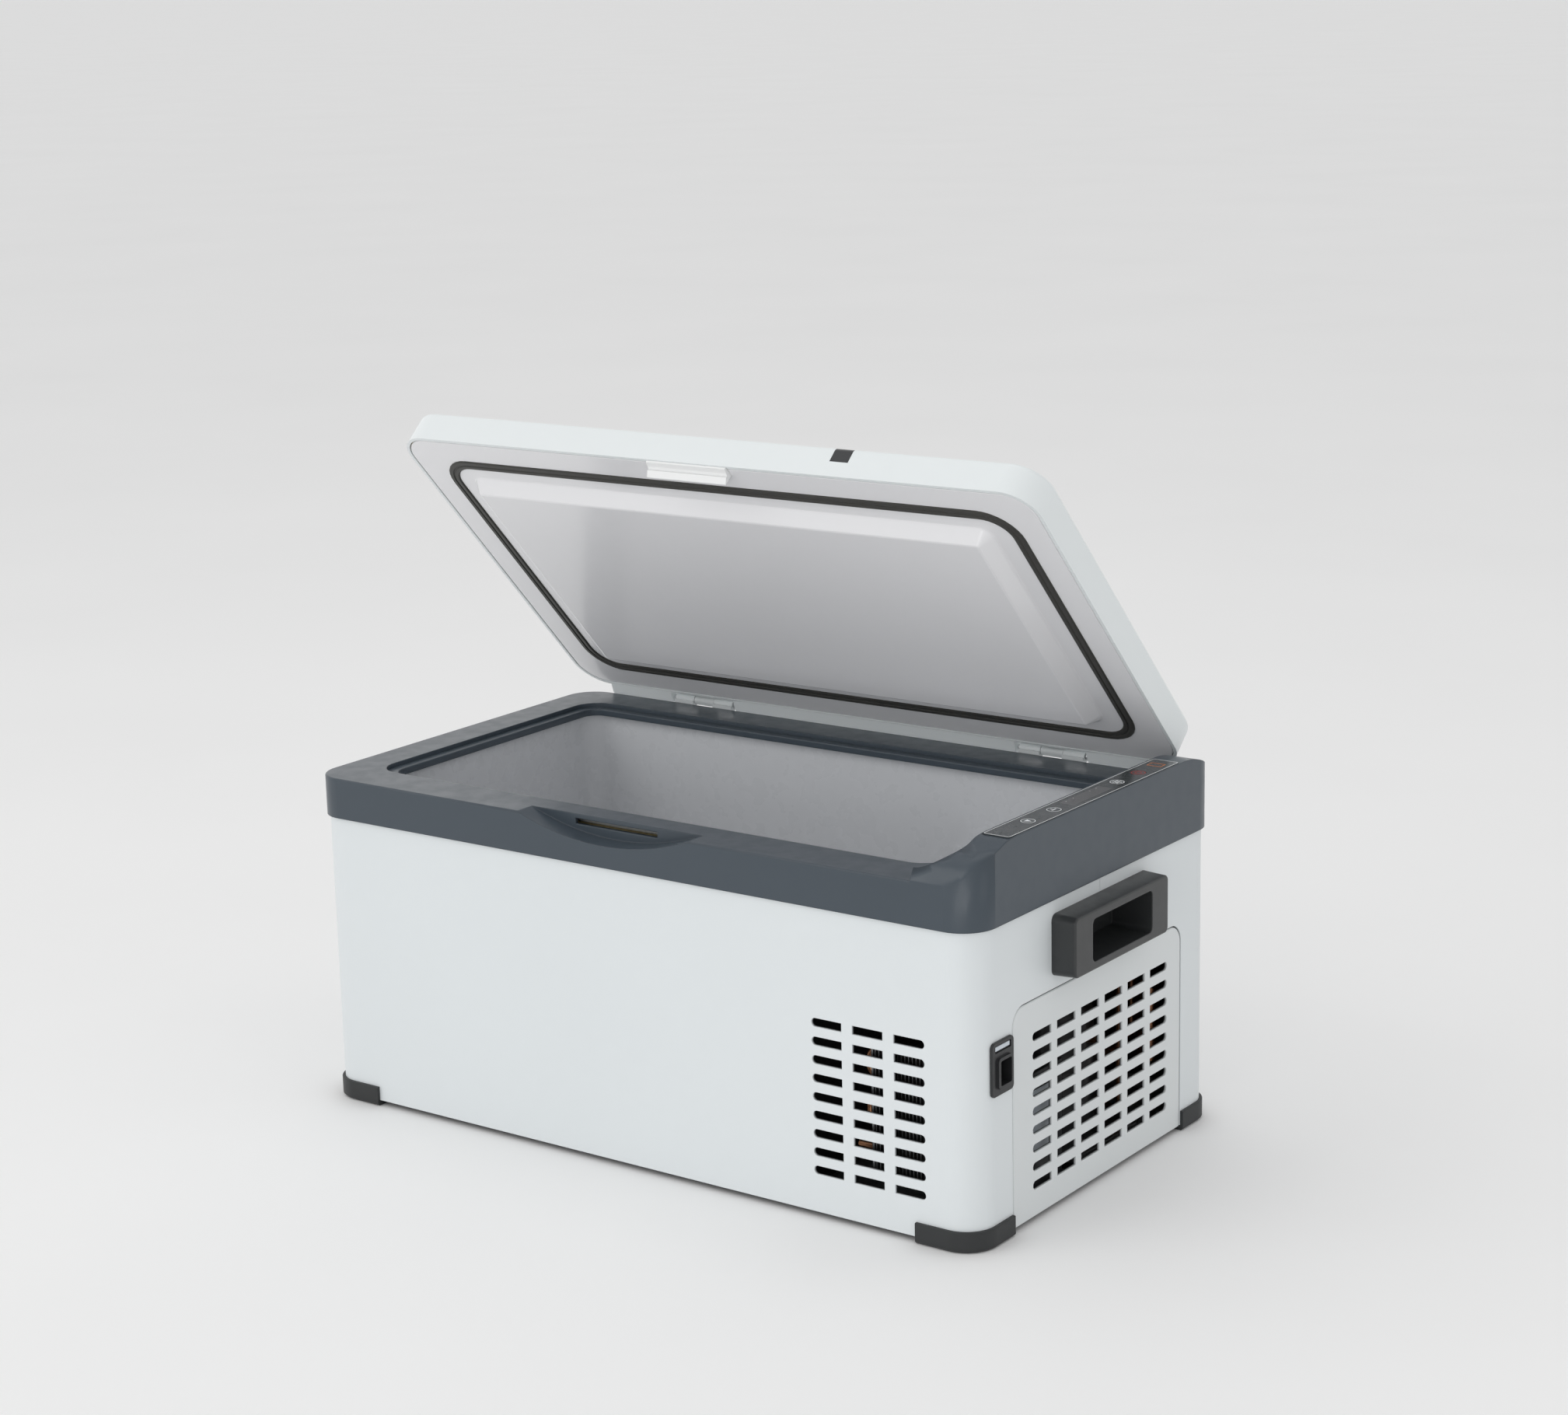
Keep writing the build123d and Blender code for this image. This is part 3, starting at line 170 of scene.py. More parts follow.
def metal(name, colour, rough=0.28, streak=(1, 60, 1), scale=40.0, stain=0.12, edge=0.0003):
    """Drawn or rolled metal: streaks along one way, faint stains."""
    g = Graph(name)
    lines = g.noise(scale, 4.0, 0.6, g.stretched(streak))
    cloud = g.noise(18.0, 5.0, 0.6)
    g.link(
        g.ramp(cloud, [(0.25, shade(colour, 1 - stain)), (0.75, shade(colour, 1 + stain * 0.5))]),
        g.shader.inputs["Base Color"],
    )
    g.link(g.spread(lines, rough - 0.07, rough + 0.12), g.shader.inputs["Roughness"])
    g.link(g.bump(lines, 0.12, 0.0001, g.soft_edges(edge)), g.shader.inputs["Normal"])
    g.set(Metallic=1.0)
    return g.material


def rubber(name, colour, rough=0.62, grain=900):
    g = Graph(name)
    cloud = g.noise(30.0, 4.0)
    g.link(
        g.ramp(cloud, [(0.3, shade(colour, 0.85)), (0.75, shade(colour, 1.25))]),
        g.shader.inputs["Base Color"],
    )
    g.link(g.spread(cloud, rough - 0.08, rough + 0.1), g.shader.inputs["Roughness"])
    g.link(g.bump(g.noise(grain, 3.0), 0.2, 0.00015, g.soft_edges(0.0006)), g.shader.inputs["Normal"])
    g.set(Sheen_Weight=0.08)
    return g.material


def foam(name, colour, inside):
    """Closed-cell foam, painted dark as shade where it faces the compressor bay."""
    g = Graph(name)
    cells = g.add("ShaderNodeTexVoronoi")
    cells.inputs["Scale"].default_value = 700.0
    g.link(g.place, cells.inputs["Vector"])
    mix = g.add("ShaderNodeMix", data_type="RGBA")
    g.link(inside(g), mix.inputs[0])
    g.link(
        g.ramp(g.noise(25.0, 5.0), [(0.3, shade(colour, 0.86)), (0.7, shade(colour, 1.08))]),
        mix.inputs[6],
    )
    # Painted shade: the bay side of the foam takes the dark shade colour.
    mix.inputs[7].default_value = PAINTED_SHADE
    g.link(mix.outputs[2], g.shader.inputs["Base Color"])
    g.link(g.bump(cells.outputs["Distance"], 0.4, 0.0006), g.shader.inputs["Normal"])
    g.set(Roughness=0.85)
    return g.material


def clear_lens(name, colour):
    g = Graph(name)
    ribs = g.add("ShaderNodeTexWave", wave_type="BANDS", bands_direction="Y")
    ribs.inputs["Scale"].default_value = 160.0
    g.link(g.place, ribs.inputs["Vector"])
    g.link(
        g.ramp(ribs.outputs["Fac"], [(0.2, shade(colour, 0.92)), (0.9, colour)]),
        g.shader.inputs["Base Color"],
    )
    g.link(g.bump(ribs.outputs["Fac"], 0.25, 0.0003), g.shader.inputs["Normal"])
    g.set(Roughness=0.18, Subsurface_Weight=0.35, Coat_Weight=0.4)
    return g.material


def board(name):
    """Circuit board lacquer with tracks under it."""
    g = Graph(name)
    tracks = g.add("ShaderNodeTexBrick")
    tracks.inputs["Scale"].default_value = 90.0
    tracks.inputs["Mortar Size"].default_value = 0.03
    tracks.inputs["Color1"].default_value = srgb(22, 78, 44)
    tracks.inputs["Color2"].default_value = srgb(26, 92, 50)
    tracks.inputs["Mortar"].default_value = srgb(60, 130, 80)
    g.link(g.place, tracks.inputs["Vector"])
    g.link(tracks.outputs["Color"], g.shader.inputs["Base Color"])
    g.link(g.bump(tracks.outputs["Fac"], 0.3, 0.0001), g.shader.inputs["Normal"])
    g.set(Roughness=0.3)
    return g.material


# Dark colour painted as shade on faces inside the shell and the compressor bay; the real parts are not
# this dark.
PAINTED_SHADE = srgb(30, 31, 33)
shell_low, shell_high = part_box("front_shell")
SHELL_HALF_X = (shell_high.x - shell_low.x) / 2
MIDDLE_Y = shell_high.y
SHELL_HALF_Y = MIDDLE_Y - shell_low.y
SHELL_R = 0.0216
SHELL_WALL = 0.0024
MASK_FADE = 0.0006
BAY_WALL_X = (0.1355, 0.1365)
NO_LIMIT = 10


def behind_the_wall(g):
    """1 where a point lies behind the outer face of the upright shell walls, 0 on that face: the mask
    for the shade painted on the shell's inner faces.
    """
    centred = g.add("ShaderNodeVectorMath", operation="SUBTRACT")
    g.link(g.place, centred.inputs[0])
    centred.inputs[1].default_value = (0, MIDDLE_Y, 0)
    folded = g.add("ShaderNodeVectorMath", operation="ABSOLUTE")
    g.link(centred.outputs[0], folded.inputs[0])
    past = g.add("ShaderNodeVectorMath", operation="SUBTRACT")
    g.link(folded.outputs[0], past.inputs[0])
    past.inputs[1].default_value = (SHELL_HALF_X - SHELL_R, SHELL_HALF_Y - SHELL_R, NO_LIMIT)
    kept = g.add("ShaderNodeVectorMath", operation="MAXIMUM")
    g.link(past.outputs[0], kept.inputs[0])
    reach = g.add("ShaderNodeVectorMath", operation="LENGTH")
    g.link(kept.outputs[0], reach.inputs[0])
    span = (SHELL_R - SHELL_WALL + MASK_FADE, SHELL_R - MASK_FADE)
    return g.spread(reach.outputs["Value"], 1.0, 0.0, span)


def in_the_bay(g):
    """1 beyond the insulation's bay wall, where the foam is painted dark as shade."""
    split = g.add("ShaderNodeSeparateXYZ")
    g.link(g.place, split.inputs[0])
    return g.spread(split.outputs[0], 0.0, 1.0, BAY_WALL_X)


# plastic() takes name, colour, rough, grain, bump, mottle, edge, coat, inside
M = {
    # Shell and vent panel: their inner faces are painted dark as shade through behind_the_wall.
    "shell": plastic(
        "shell_moulding", srgb(224, 229, 231), 0.42, 1500, 0.06, 0.010, 0.0006, 0.0, behind_the_wall
    ),
    "panel": plastic(
        "panel_moulding", srgb(220, 224, 225), 0.45, 1500, 0.08, 0.010, 0.0005, 0.0, behind_the_wall
    ),
    "collar": plastic("collar_moulding", srgb(62, 72, 81), 0.34, 1300, 0.08, 0.03, 0.0014, 0.1),
    "handle": plastic("handle_moulding", srgb(44, 46, 47), 0.36, 1100, 0.12, 0.05, 0.0014, 0.15),
    "lid": plastic("lid_moulding", srgb(232, 237, 238), 0.32, 1700, 0.05, 0.008, 0.0007, 0.15),
    "lid_liner": plastic("lid_inner_sheet", srgb(236, 236, 238), 0.20, 900, 0.02, 0.006, 0.0, 0.4),
    "liner": plastic("tub_sheet", srgb(212, 214, 217), 0.28, 900, 0.02, 0.006, 0.0, 0.2),
    "hinge": plastic("hinge_paint", srgb(214, 218, 219), 0.38, 800, 0.10, 0.012, 0.0004, 0.1),
    # Dark sheet behind the rear vents, which stands in for shade in the compressor bay.
    "vent_shade": foam("vent_shade_foam", srgb(34, 35, 37), in_the_bay),
    "hook": plastic("hook_moulding", srgb(241, 242, 242), 0.32, 1500, 0.05, 0.006, 0.0005, 0.1),
    "trim": plastic("trim_gloss", srgb(40, 42, 44), 0.22, 1500, 0.03, 0.05, 0.0003, 0.3),
    "overlay": plastic("overlay_film", srgb(54, 60, 62), 0.26, 1800, 0.04, 0.03, 0.0002, 0.2),
    "display": plastic("display_glass", srgb(26, 29, 31), 0.10, 900, 0.01, 0.06, 0.0002, 0.6),
    "key": plastic("key_film", srgb(62, 68, 72), 0.32, 1500, 0.04, 0.03, 0.0002, 0.15),
    "print_light": plastic("print_light", srgb(240, 243, 244), 0.5, 1500, 0.03, 0.02, 0.0),
    "print_red": plastic("print_red", srgb(172, 66, 60), 0.45, 1500, 0.03, 0.04, 0.0),
    "print_orange": plastic("print_orange", srgb(206, 118, 54), 0.45, 1500, 0.03, 0.04, 0.0),
    "inlet": plastic("inlet_moulding", srgb(36, 37, 39), 0.36, 1200, 0.08, 0.06, 0.0004),
    "label": plastic("label_film", srgb(206, 214, 222), 0.38, 1500, 0.03, 0.02, 0.0002, 0.1),
    "pan": plastic("pan_moulding", srgb(120, 123, 125), 0.5, 1000, 0.15, 0.04, 0.0008),
    "black": plastic("black_moulding", srgb(30, 31, 33), 0.40, 1200, 0.10, 0.08, 0.0005),
    "module": plastic("module_case", srgb(58, 60, 62), 0.42, 1200, 0.08, 0.05, 0.0005),
    "compressor": plastic("compressor_paint", srgb(32, 33, 35), 0.34, 700, 0.20, 0.10, 0.0010, 0.2),
    "foot": rubber("foot_rubber", srgb(40, 42, 43)),
    "seal": rubber("seal_rubber", srgb(46, 45, 41), 0.5),
    "mount": rubber("mount_rubber", srgb(34, 34, 36), 0.7),
    "steel": metal("zinc_steel", (0.60, 0.61, 0.62, 1), 0.32),
    "copper": metal("copper_pipe", (0.50, 0.25, 0.14, 1), 0.30, (1, 1, 30), 30.0, 0.22),
    "fins": metal("fin_aluminium", (0.30, 0.31, 0.32, 1), 0.40, (1, 1, 50), 50.0, 0.10, 0.0001),
    "evaporator": metal("plate_aluminium", (0.70, 0.71, 0.72, 1), 0.40, (30, 1, 1), 30.0, 0.10),
    "pin": metal("contact_nickel", (0.78, 0.75, 0.68, 1), 0.16, (30, 1, 1), 60.0, 0.05),
    # Insulation foam: painted dark as shade on its compressor bay side.
    "foam": foam("insulation_foam", srgb(232, 214, 164), in_the_bay),
    "lens": clear_lens("light_lens_material", srgb(236, 236, 228)),
    "board": board("board_lacquer"),
}
PAINT = {
    "shell": ["front_shell", "rear_shell"],
    "panel": ["side_vent_panel"],
    "collar": ["collar"],
    "handle": ["handle_right", "handle_left"],
    "lid": ["lid_shell"],
    "hinge": ["hinge_body_leaves", "hinge_lid_leaves"],
    "lid_liner": ["lid_liner"],
    "liner": ["liner_tub"],
    "hook": ["latch_hook"],
    "trim": ["lid_trim_strip"],
    "overlay": ["control_overlay"],
    "display": ["display_window"],
    "key": ["key_mode", "key_minus", "key_plus", "key_power"],
    "inlet": ["power_inlet"],
    "pan": ["base_pan"],
    "black": ["fan_shroud", "fan_motor", "fan_rotor", "terminal_cover"],
    "module": ["power_module"],
    "compressor": ["compressor"],
    "foot": ["foot_front_left", "foot_front_right", "foot_rear_left", "foot_rear_right"],
    "seal": ["lid_gasket"],
    "mount": ["rubber_mounts"],
    "steel": [
        "mounting_plate", "mount_bolts", "hinge_pins", "hinge_screws", "hinge_lid_screws",
        "handle_screws", "foot_screws",
    ],
    "copper": ["condenser_tube", "filter_drier", "suction_pipe", "discharge_pipe", "drier_pipe"],
    "fins": ["condenser_fins"],
    "evaporator": ["evaporator_plate"],
    "pin": ["inlet_pins"],
    "foam": ["foam_insulation", "lid_foam"],
    "lens": ["light_lens"],
    "board": ["control_board"],
}


def dress(target, material):
    target.data.materials.clear()
    target.data.materials.append(material)


for material_name, members in PAINT.items():
    for member in members:
        dress(nodes[member], M[material_name])


# ---------------------------------------------------------------- small pieces

def piece(name, mesh, material, body):
    made = bpy.data.objects.new(name, mesh)
    bpy.context.scene.collection.objects.link(made)
    dress(made, material)
    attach(made, body)
    return made


def raised(outlines, z_low, z_high):
    """Mesh of flat raised marks. Each outline is an outer ring of (x, y), with an inner ring or None."""
    bm = bmesh.new()
    for outer, inner in outlines:
        rings = []
        for z in (z_low, z_high):
            rings.append([bm.verts.new((x, y, z)) for x, y in outer])
            if inner:
                rings.append([bm.verts.new((x, y, z)) for x, y in inner])
        count = len(outer)
        if inner:
            low_out, low_in, high_out, high_in = rings
            for i in range(count):
                j = (i + 1) % count
                bm.faces.new((high_out[i], high_out[j], high_in[j], high_in[i]))
                bm.faces.new((low_in[i], low_in[j], low_out[j], low_out[i]))
                bm.faces.new((low_out[i], low_out[j], high_out[j], high_out[i]))
                bm.faces.new((high_in[i], high_in[j], low_in[j], low_in[i]))
        else:
            low, high = rings
            bm.faces.new(high)
            bm.faces.new(low[::-1])
            for i in range(count):
                j = (i + 1) % count
                bm.faces.new((low[i], low[j], high[j], high[i]))
    bmesh.ops.recalc_face_normals(bm, faces=bm.faces)
    mesh = bpy.data.meshes.new("marks")
    bm.to_mesh(mesh)
    bm.free()
    return mesh


def circle(cx, cy, radius, count=48):
    turns = [2 * math.pi * i / count for i in range(count)]
    return [(cx + radius * math.cos(t), cy + radius * math.sin(t)) for t in turns]


def ring(cx, cy, radius, width):
    return circle(cx, cy, radius), circle(cx, cy, radius - width)


def soft_rect(x0, y0, x1, y1, radius, steps=6):
    points = []
    corners = [
        (x1 - radius, y1 - radius, 0), (x0 + radius, y1 - radius, 1),
        (x0 + radius, y0 + radius, 2), (x1 - radius, y0 + radius, 3),
    ]
    for cx, cy, quarter in corners:
        for i in range(steps + 1):
            t = math.pi / 2 * (quarter + i / steps)
            points.append((cx + radius * math.cos(t), cy + radius * math.sin(t)))
    return points


def border(x0, y0, x1, y1, radius, width):
    return (
        soft_rect(x0, y0, x1, y1, radius),
        soft_rect(x0 + width, y0 + width, x1 - width, y1 - width, max(radius - width, 0.0001)),
    )


def centre(node):
    low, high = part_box(node)
    return (low + high) / 2


# Printed marks on the control overlay and the keys
PRINT = 0.00006
BORDER_INSET, BORDER_R, BORDER_WIDTH = 0.0005, 0.0018, 0.00045
KEY_RING_R, KEY_RING_WIDTH = 0.0051, 0.00055
CHARGE_HALF_X, CHARGE_Y, CHARGE_R, CHARGE_WIDTH = 0.0056, (0.0210, 0.0290), 0.0008, 0.0007
DOT_INSET, DOT_R, DOT_SHARES = 0.0022, 0.00035, (0.12, 0.3, 0.72, 0.88)

low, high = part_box("control_overlay")
top = high.z
overlay_border = border(
    low.x + BORDER_INSET, low.y + BORDER_INSET, high.x - BORDER_INSET, high.y - BORDER_INSET,
    BORDER_R, BORDER_WIDTH,
)
piece(
    "overlay_border", raised([overlay_border], top, top + PRINT),
    M["print_light"], "base",
)


def bar(c, x0, y0, x1, y1, radius):
    """Small rounded bar, placed from the middle of a key."""
    return soft_rect(c.x + x0, c.y + y0, c.x + x1, c.y + y1, radius), None


def play_mark(c):
    return [([(c.x - 0.0020, c.y + 0.0023), (c.x - 0.0020, c.y - 0.0023), (c.x + 0.0026, c.y)], None)]


def tee_mark(c):
    return [
        bar(c, -0.0005, -0.0026, 0.0005, 0.0026, 0.0003),
        bar(c, -0.0026, -0.0005, -0.0012, 0.0005, 0.0003),
    ]


def sun_mark(c):
    marks = [ring(c.x, c.y, 0.0020, 0.0009)]
    for i in range(6):
        t = math.pi * i / 3
        marks.append((circle(c.x + 0.0031 * math.cos(t), c.y + 0.0031 * math.sin(t), 0.0006, 12), None))
    return marks


def power_mark(c):
    return [ring(c.x, c.y, 0.0025, 0.0006), bar(c, -0.0034, -0.0003, -0.0012, 0.0003, 0.0002)]


KEYS = {
    "mode": (play_mark, "print_light"),
    "minus": (tee_mark, "print_light"),
    "plus": (sun_mark, "print_light"),
    "power": (power_mark, "print_red"),
}
for key, (symbol, ink) in KEYS.items():
    c = centre("key_" + key)
    key_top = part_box("key_" + key)[1].z
    marks = [ring(c.x, c.y, KEY_RING_R, KEY_RING_WIDTH)] + symbol(c)
    piece(
        "mark_" + key, raised(marks, key_top, key_top + PRINT),
        M[ink], "key_" + key + "_body",
    )
c = centre("key_power")
charge = border(
    c.x - CHARGE_HALF_X, c.y + CHARGE_Y[0], c.x + CHARGE_HALF_X, c.y + CHARGE_Y[1],
    CHARGE_R, CHARGE_WIDTH,
)
piece(
    "charge_mark", raised([charge], top, top + PRINT),
    M["print_orange"], "base",
)
low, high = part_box("display_window")
dots = [
    (circle(low.x + DOT_INSET, low.y + share * (high.y - low.y), DOT_R, 14), None)
    for share in DOT_SHARES
]
piece("display_dots", raised(dots, high.z, high.z + PRINT), M["print_light"], "base")


# ---------------------------------------------------------------- lid inside, ledge and hinge barrel

hinge = next(j for j in frame["record"]["behaviour"]["joints"] if j["name"] == "lid_hinge")
HINGE = Vector(hinge["pos_m"])
LID_OPEN = -math.radians(hinge["range_deg"][0])
LID_REARWARD = Vector((0, math.cos(LID_OPEN), -math.sin(LID_OPEN)))
LID_UPWARD = Vector((0, math.sin(LID_OPEN), math.cos(LID_OPEN)))

# The lid's sizes are given in the hinge frame, where the hinge axis is the origin
LIP = -0.001
LID_SPAN_X = (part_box("lid_shell")[0].x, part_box("lid_shell")[1].x)
LID_SPAN_Y = (-0.3195, -0.0075)
LID_R = 0.025


def in_lid(x, y, height):
    """World place of a point given in the hinge frame."""
    return HINGE + Vector((x, 0, 0)) + LID_REARWARD * y + LID_UPWARD * height


def upright(x, y, z):
    """World place of a point given over the footprint's middle."""
    return Vector((x, y + MIDDLE_Y, z))


def loft(rings, closed=False):
    """Solid skin through rings of equal length, capped at both ends or closed on itself."""
    bm = bmesh.new()
    made = [[bm.verts.new(point) for point in points] for points in rings]
    pairs = list(zip(made, made[1:])) + ([(made[-1], made[0])] if closed else [])
    for lower, upper in pairs:
        for i in range(len(lower)):
            j = (i + 1) % len(lower)
            bm.faces.new((lower[i], lower[j], upper[j], upper[i]))
    if not closed:
        bm.faces.new(made[0][::-1])
        bm.faces.new(made[-1])
    bmesh.ops.recalc_face_normals(bm, faces=bm.faces)
    mesh = bpy.data.meshes.new("loft")
    bm.to_mesh(mesh)
    bm.free()
    return mesh


def rect_ring(place, span_x, span_y, radius, inset, height, steps=8):
    """Ring of points round a rounded rectangle, drawn in by an inset."""
    points = soft_rect(
        span_x[0] + inset, span_y[0] + inset, span_x[1] - inset, span_y[1] - inset,
        max(radius - inset, 0.0008), steps,
    )
    return [place(x, y, height) for x, y in points]


PLATEAU_X = (-0.238, 0.214)
PLATEAU_Y = (-0.2765, -0.053)
PLATEAU_R = 0.0095
PLATEAU_DROP = 0.0098
PLATEAU_RUN = 0.0074
SHEET_INSET = 0.0031
SHEET_EDGE = ((0.0, 0.0020), (0.0, 0.0006), (0.0002, 0.0002), (0.0006, 0.0))
PLATEAU_SECTION = (
    (-0.0020, 0.0), (-0.0008, 0.0003), (0.0002, 0.0012),
    (PLATEAU_RUN - 0.0010, PLATEAU_DROP - 0.0014),
    (PLATEAU_RUN, PLATEAU_DROP - 0.0004),
    (PLATEAU_RUN + 0.0014, PLATEAU_DROP),
)
SEAL_X = (-0.261, 0.2395)
SEAL_Y = (-0.296, -0.032)
SEAL_R = 0.028
SEAL_WIDTH = 0.0088
SEAL_PROUD = 0.0012
SEAL_SECTION = (
    (0.0, 0.0), (0.0, -SEAL_PROUD * 0.5), (0.0009, -SEAL_PROUD),
    (SEAL_WIDTH * 0.40, -SEAL_PROUD), (SEAL_WIDTH * 0.47, -SEAL_PROUD * 0.45),
    (SEAL_WIDTH * 0.56, -SEAL_PROUD * 0.45), (SEAL_WIDTH * 0.63, -SEAL_PROUD),
    (SEAL_WIDTH - 0.0009, -SEAL_PROUD), (SEAL_WIDTH, -SEAL_PROUD * 0.5), (SEAL_WIDTH, 0.0),
)


def lid_inside():
    """Inner sheet: flat rim with a soft edge, a fillet, and the sloped plug."""
    rim = LIP + 0.0002
    outer = [
        rect_ring(in_lid, LID_SPAN_X, LID_SPAN_Y, LID_R, SHEET_INSET + inset, rim + rise)
        for inset, rise in SHEET_EDGE
    ]
    slope = [
        rect_ring(in_lid, PLATEAU_X, PLATEAU_Y, PLATEAU_R, inset, rim - drop)
        for inset, drop in PLATEAU_SECTION
    ]
    return loft(outer + slope)


def lid_seal():
    """Gasket: two rounded lips with a groove between them, all the way round the rim."""
    foot = LIP + 0.0003
    rings = [
        rect_ring(in_lid, SEAL_X, SEAL_Y, SEAL_R, inset, foot + rise) for inset, rise in SEAL_SECTION
    ]
    return loft(rings, closed=True)


inner_sheet = piece("lid_inner_sheet", lid_inside(), M["lid_liner"], "lid")
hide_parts("lid_liner")
seal = piece("lid_seal_ring", lid_seal(), M["seal"], "lid")
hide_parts("lid_gasket")

# Ledge inside the rim, on which the lid's seal and plug close
OPENING_X = (-0.2574, 0.2329)
OPENING_Y = (-0.1239, 0.1279)
OPENING_R = 0.020
LEDGE_TOP = 0.245
LEDGE_BOTTOM = 0.2400
LEDGE_WIDTH = 0.0086
LEDGE_SECTION = (
    (0.0, LEDGE_BOTTOM), (0.0, LEDGE_TOP), (LEDGE_WIDTH - 0.0006, LEDGE_TOP),
    (LEDGE_WIDTH - 0.0001, LEDGE_TOP - 0.0004), (LEDGE_WIDTH, LEDGE_TOP - 0.0010),
    (LEDGE_WIDTH, LEDGE_BOTTOM),
)
ledge_rings = [
    rect_ring(upright, OPENING_X, OPENING_Y, OPENING_R, inset, z) for inset, z in LEDGE_SECTION
]
piece("rim_ledge", loft(ledge_rings, closed=True), M["collar"], "base")

# Collar whose raised end is crowned towards the rear: it falls by FALL_CURVE times the distance
# squared, from FALL_START behind the footprint's middle to the collar's rear face
FALL_START = 0.112
FALL_CURVE = 7.03
FALL_CUTS = 9
COLLAR_PROUD = 0.0024


def crowned_collar():
    """The collar's own mesh, planed off behind the keys by flats that follow a falling curve."""
    bm = bmesh.new()
    bm.from_mesh(nodes["collar"].data)
    bmesh.ops.remove_doubles(bm, verts=bm.verts, dist=1e-6)
    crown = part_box("collar")[1].z
    run = SHELL_HALF_Y + COLLAR_PROUD - FALL_START
    for step in range(FALL_CUTS):
        along = run * (step + 0.5) / FALL_CUTS
        normal = Vector((0, 2 * FALL_CURVE * along, 1)).normalized()
        cut = bmesh.ops.bisect_plane(
            bm, geom=bm.verts[:] + bm.edges[:] + bm.faces[:], dist=1e-7,
            plane_co=upright(0, FALL_START + along, crown - FALL_CURVE * along ** 2), plane_no=normal,
            clear_outer=True,
        )
        rim = [item for item in cut["geom_cut"] if isinstance(item, bmesh.types.BMEdge)]
        bmesh.ops.edgeloop_fill(bm, edges=rim)
    bmesh.ops.recalc_face_normals(bm, faces=bm.faces)
    mesh = bpy.data.meshes.new("crowned_collar")
    bm.to_mesh(mesh)
    bm.free()
    return mesh


collar_piece = piece("collar_crowned", crowned_collar(), M["collar"], "base")
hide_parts("collar")

# Barrel of the lid along the hinge axis, between and beside the hinges
BARREL_R = 0.0044
BARRELS_X = ((-0.262, -0.2005), (-0.1395, 0.1195), (0.1805, 0.245))
BARREL_WEB = [(-0.0090, 0.0046), (-0.0090, -0.0006)]
CHAMFER, CHAMFER_SIZE = 0.0004, 0.9
arc = [math.radians(angle) for angle in range(-110, 71, 12)]
profile = BARREL_WEB + [(BARREL_R * math.cos(t), BARREL_R * math.sin(t)) for t in arc]
for index, (start, end) in enumerate(BARRELS_X):
    chamfered = (
        (start, CHAMFER_SIZE), (start + CHAMFER, 1.0), (end - CHAMFER, 1.0), (end, CHAMFER_SIZE)
    )
    rings = [[in_lid(x, y * size, z * size) for y, z in profile] for x, size in chamfered]
    piece(f"lid_barrel_{index + 1}", loft(rings), M["lid"], "lid")


def slab(low, high, bevel):
    """Small softened block."""
    bm = bmesh.new()
    bmesh.ops.create_cube(bm, size=1.0)
    size = Vector(high) - Vector(low)
    bmesh.ops.scale(bm, vec=size, verts=bm.verts)
    bmesh.ops.translate(bm, vec=(Vector(low) + Vector(high)) / 2, verts=bm.verts)
    bmesh.ops.bevel(bm, geom=bm.edges[:], offset=bevel, segments=2, affect="EDGES")
    mesh = bpy.data.meshes.new("slab")
    bm.to_mesh(mesh)
    bm.free()
    return mesh


# Dark foam sheet behind the rear vents: painted shade that keeps the bay dark where it is seen through
# the slots
SHADE_SHEET_X, SHADE_SHEET_Z = (0.150, 0.256), (0.026, 0.146)
SHADE_SHEET_BEHIND = (0.0045, 0.0005)
rear_wall_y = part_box("rear_shell")[1].y - SHELL_WALL
vent_shade_sheet = slab(
    (SHADE_SHEET_X[0], rear_wall_y - SHADE_SHEET_BEHIND[0], SHADE_SHEET_Z[0]),
    (SHADE_SHEET_X[1], rear_wall_y - SHADE_SHEET_BEHIND[1], SHADE_SHEET_Z[1]),
    0.0012,
)
# Painted shade: a dark sheet that keeps light out of the bay, not a real part.
piece("rear_vent_shade_sheet", vent_shade_sheet, M["vent_shade"], "base")

# Blank label strip on the power inlet, and blank label on the power module
LABEL_BEVEL = 0.0001
STRIP_MARGIN = 0.17
STRIP_DEPTH, STRIP_DROP = (0.0027, 0.0022), (0.0062, 0.0032)
STICKER_Y, STICKER_Z, STICKER_THICK = (0.006, 0.008), (0.024, 0.012), 0.0002
low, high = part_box("power_inlet")
span = high.y - low.y
strip = slab(
    (high.x - STRIP_DEPTH[0], low.y + STRIP_MARGIN * span, high.z - STRIP_DROP[0]),
    (high.x - STRIP_DEPTH[1], high.y - STRIP_MARGIN * span, high.z - STRIP_DROP[1]),
    LABEL_BEVEL,
)
piece("inlet_label", strip, M["label"], "base")
low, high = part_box("power_module")
sticker = slab(
    (high.x, low.y + STICKER_Y[0], low.z + STICKER_Z[0]),
    (high.x + STICKER_THICK, high.y - STICKER_Y[1], high.z - STICKER_Z[1]),
    LABEL_BEVEL,
)
piece("module_label", sticker, M["label"], "base")


# ---------------------------------------------------------------- stage, light and camera

def floor_material():
    g = Graph("studio_floor")
    g.link(
        g.ramp(g.noise(2.0, 4.0), [(0.3, (0.93, 0.93, 0.93, 1)), (0.7, (0.95, 0.95, 0.95, 1))]),
        g.shader.inputs["Base Color"],
    )
    g.link(g.bump(g.noise(300.0), 0.02, 0.0003), g.shader.inputs["Normal"])
    g.set(Roughness=0.7)
    return g.material


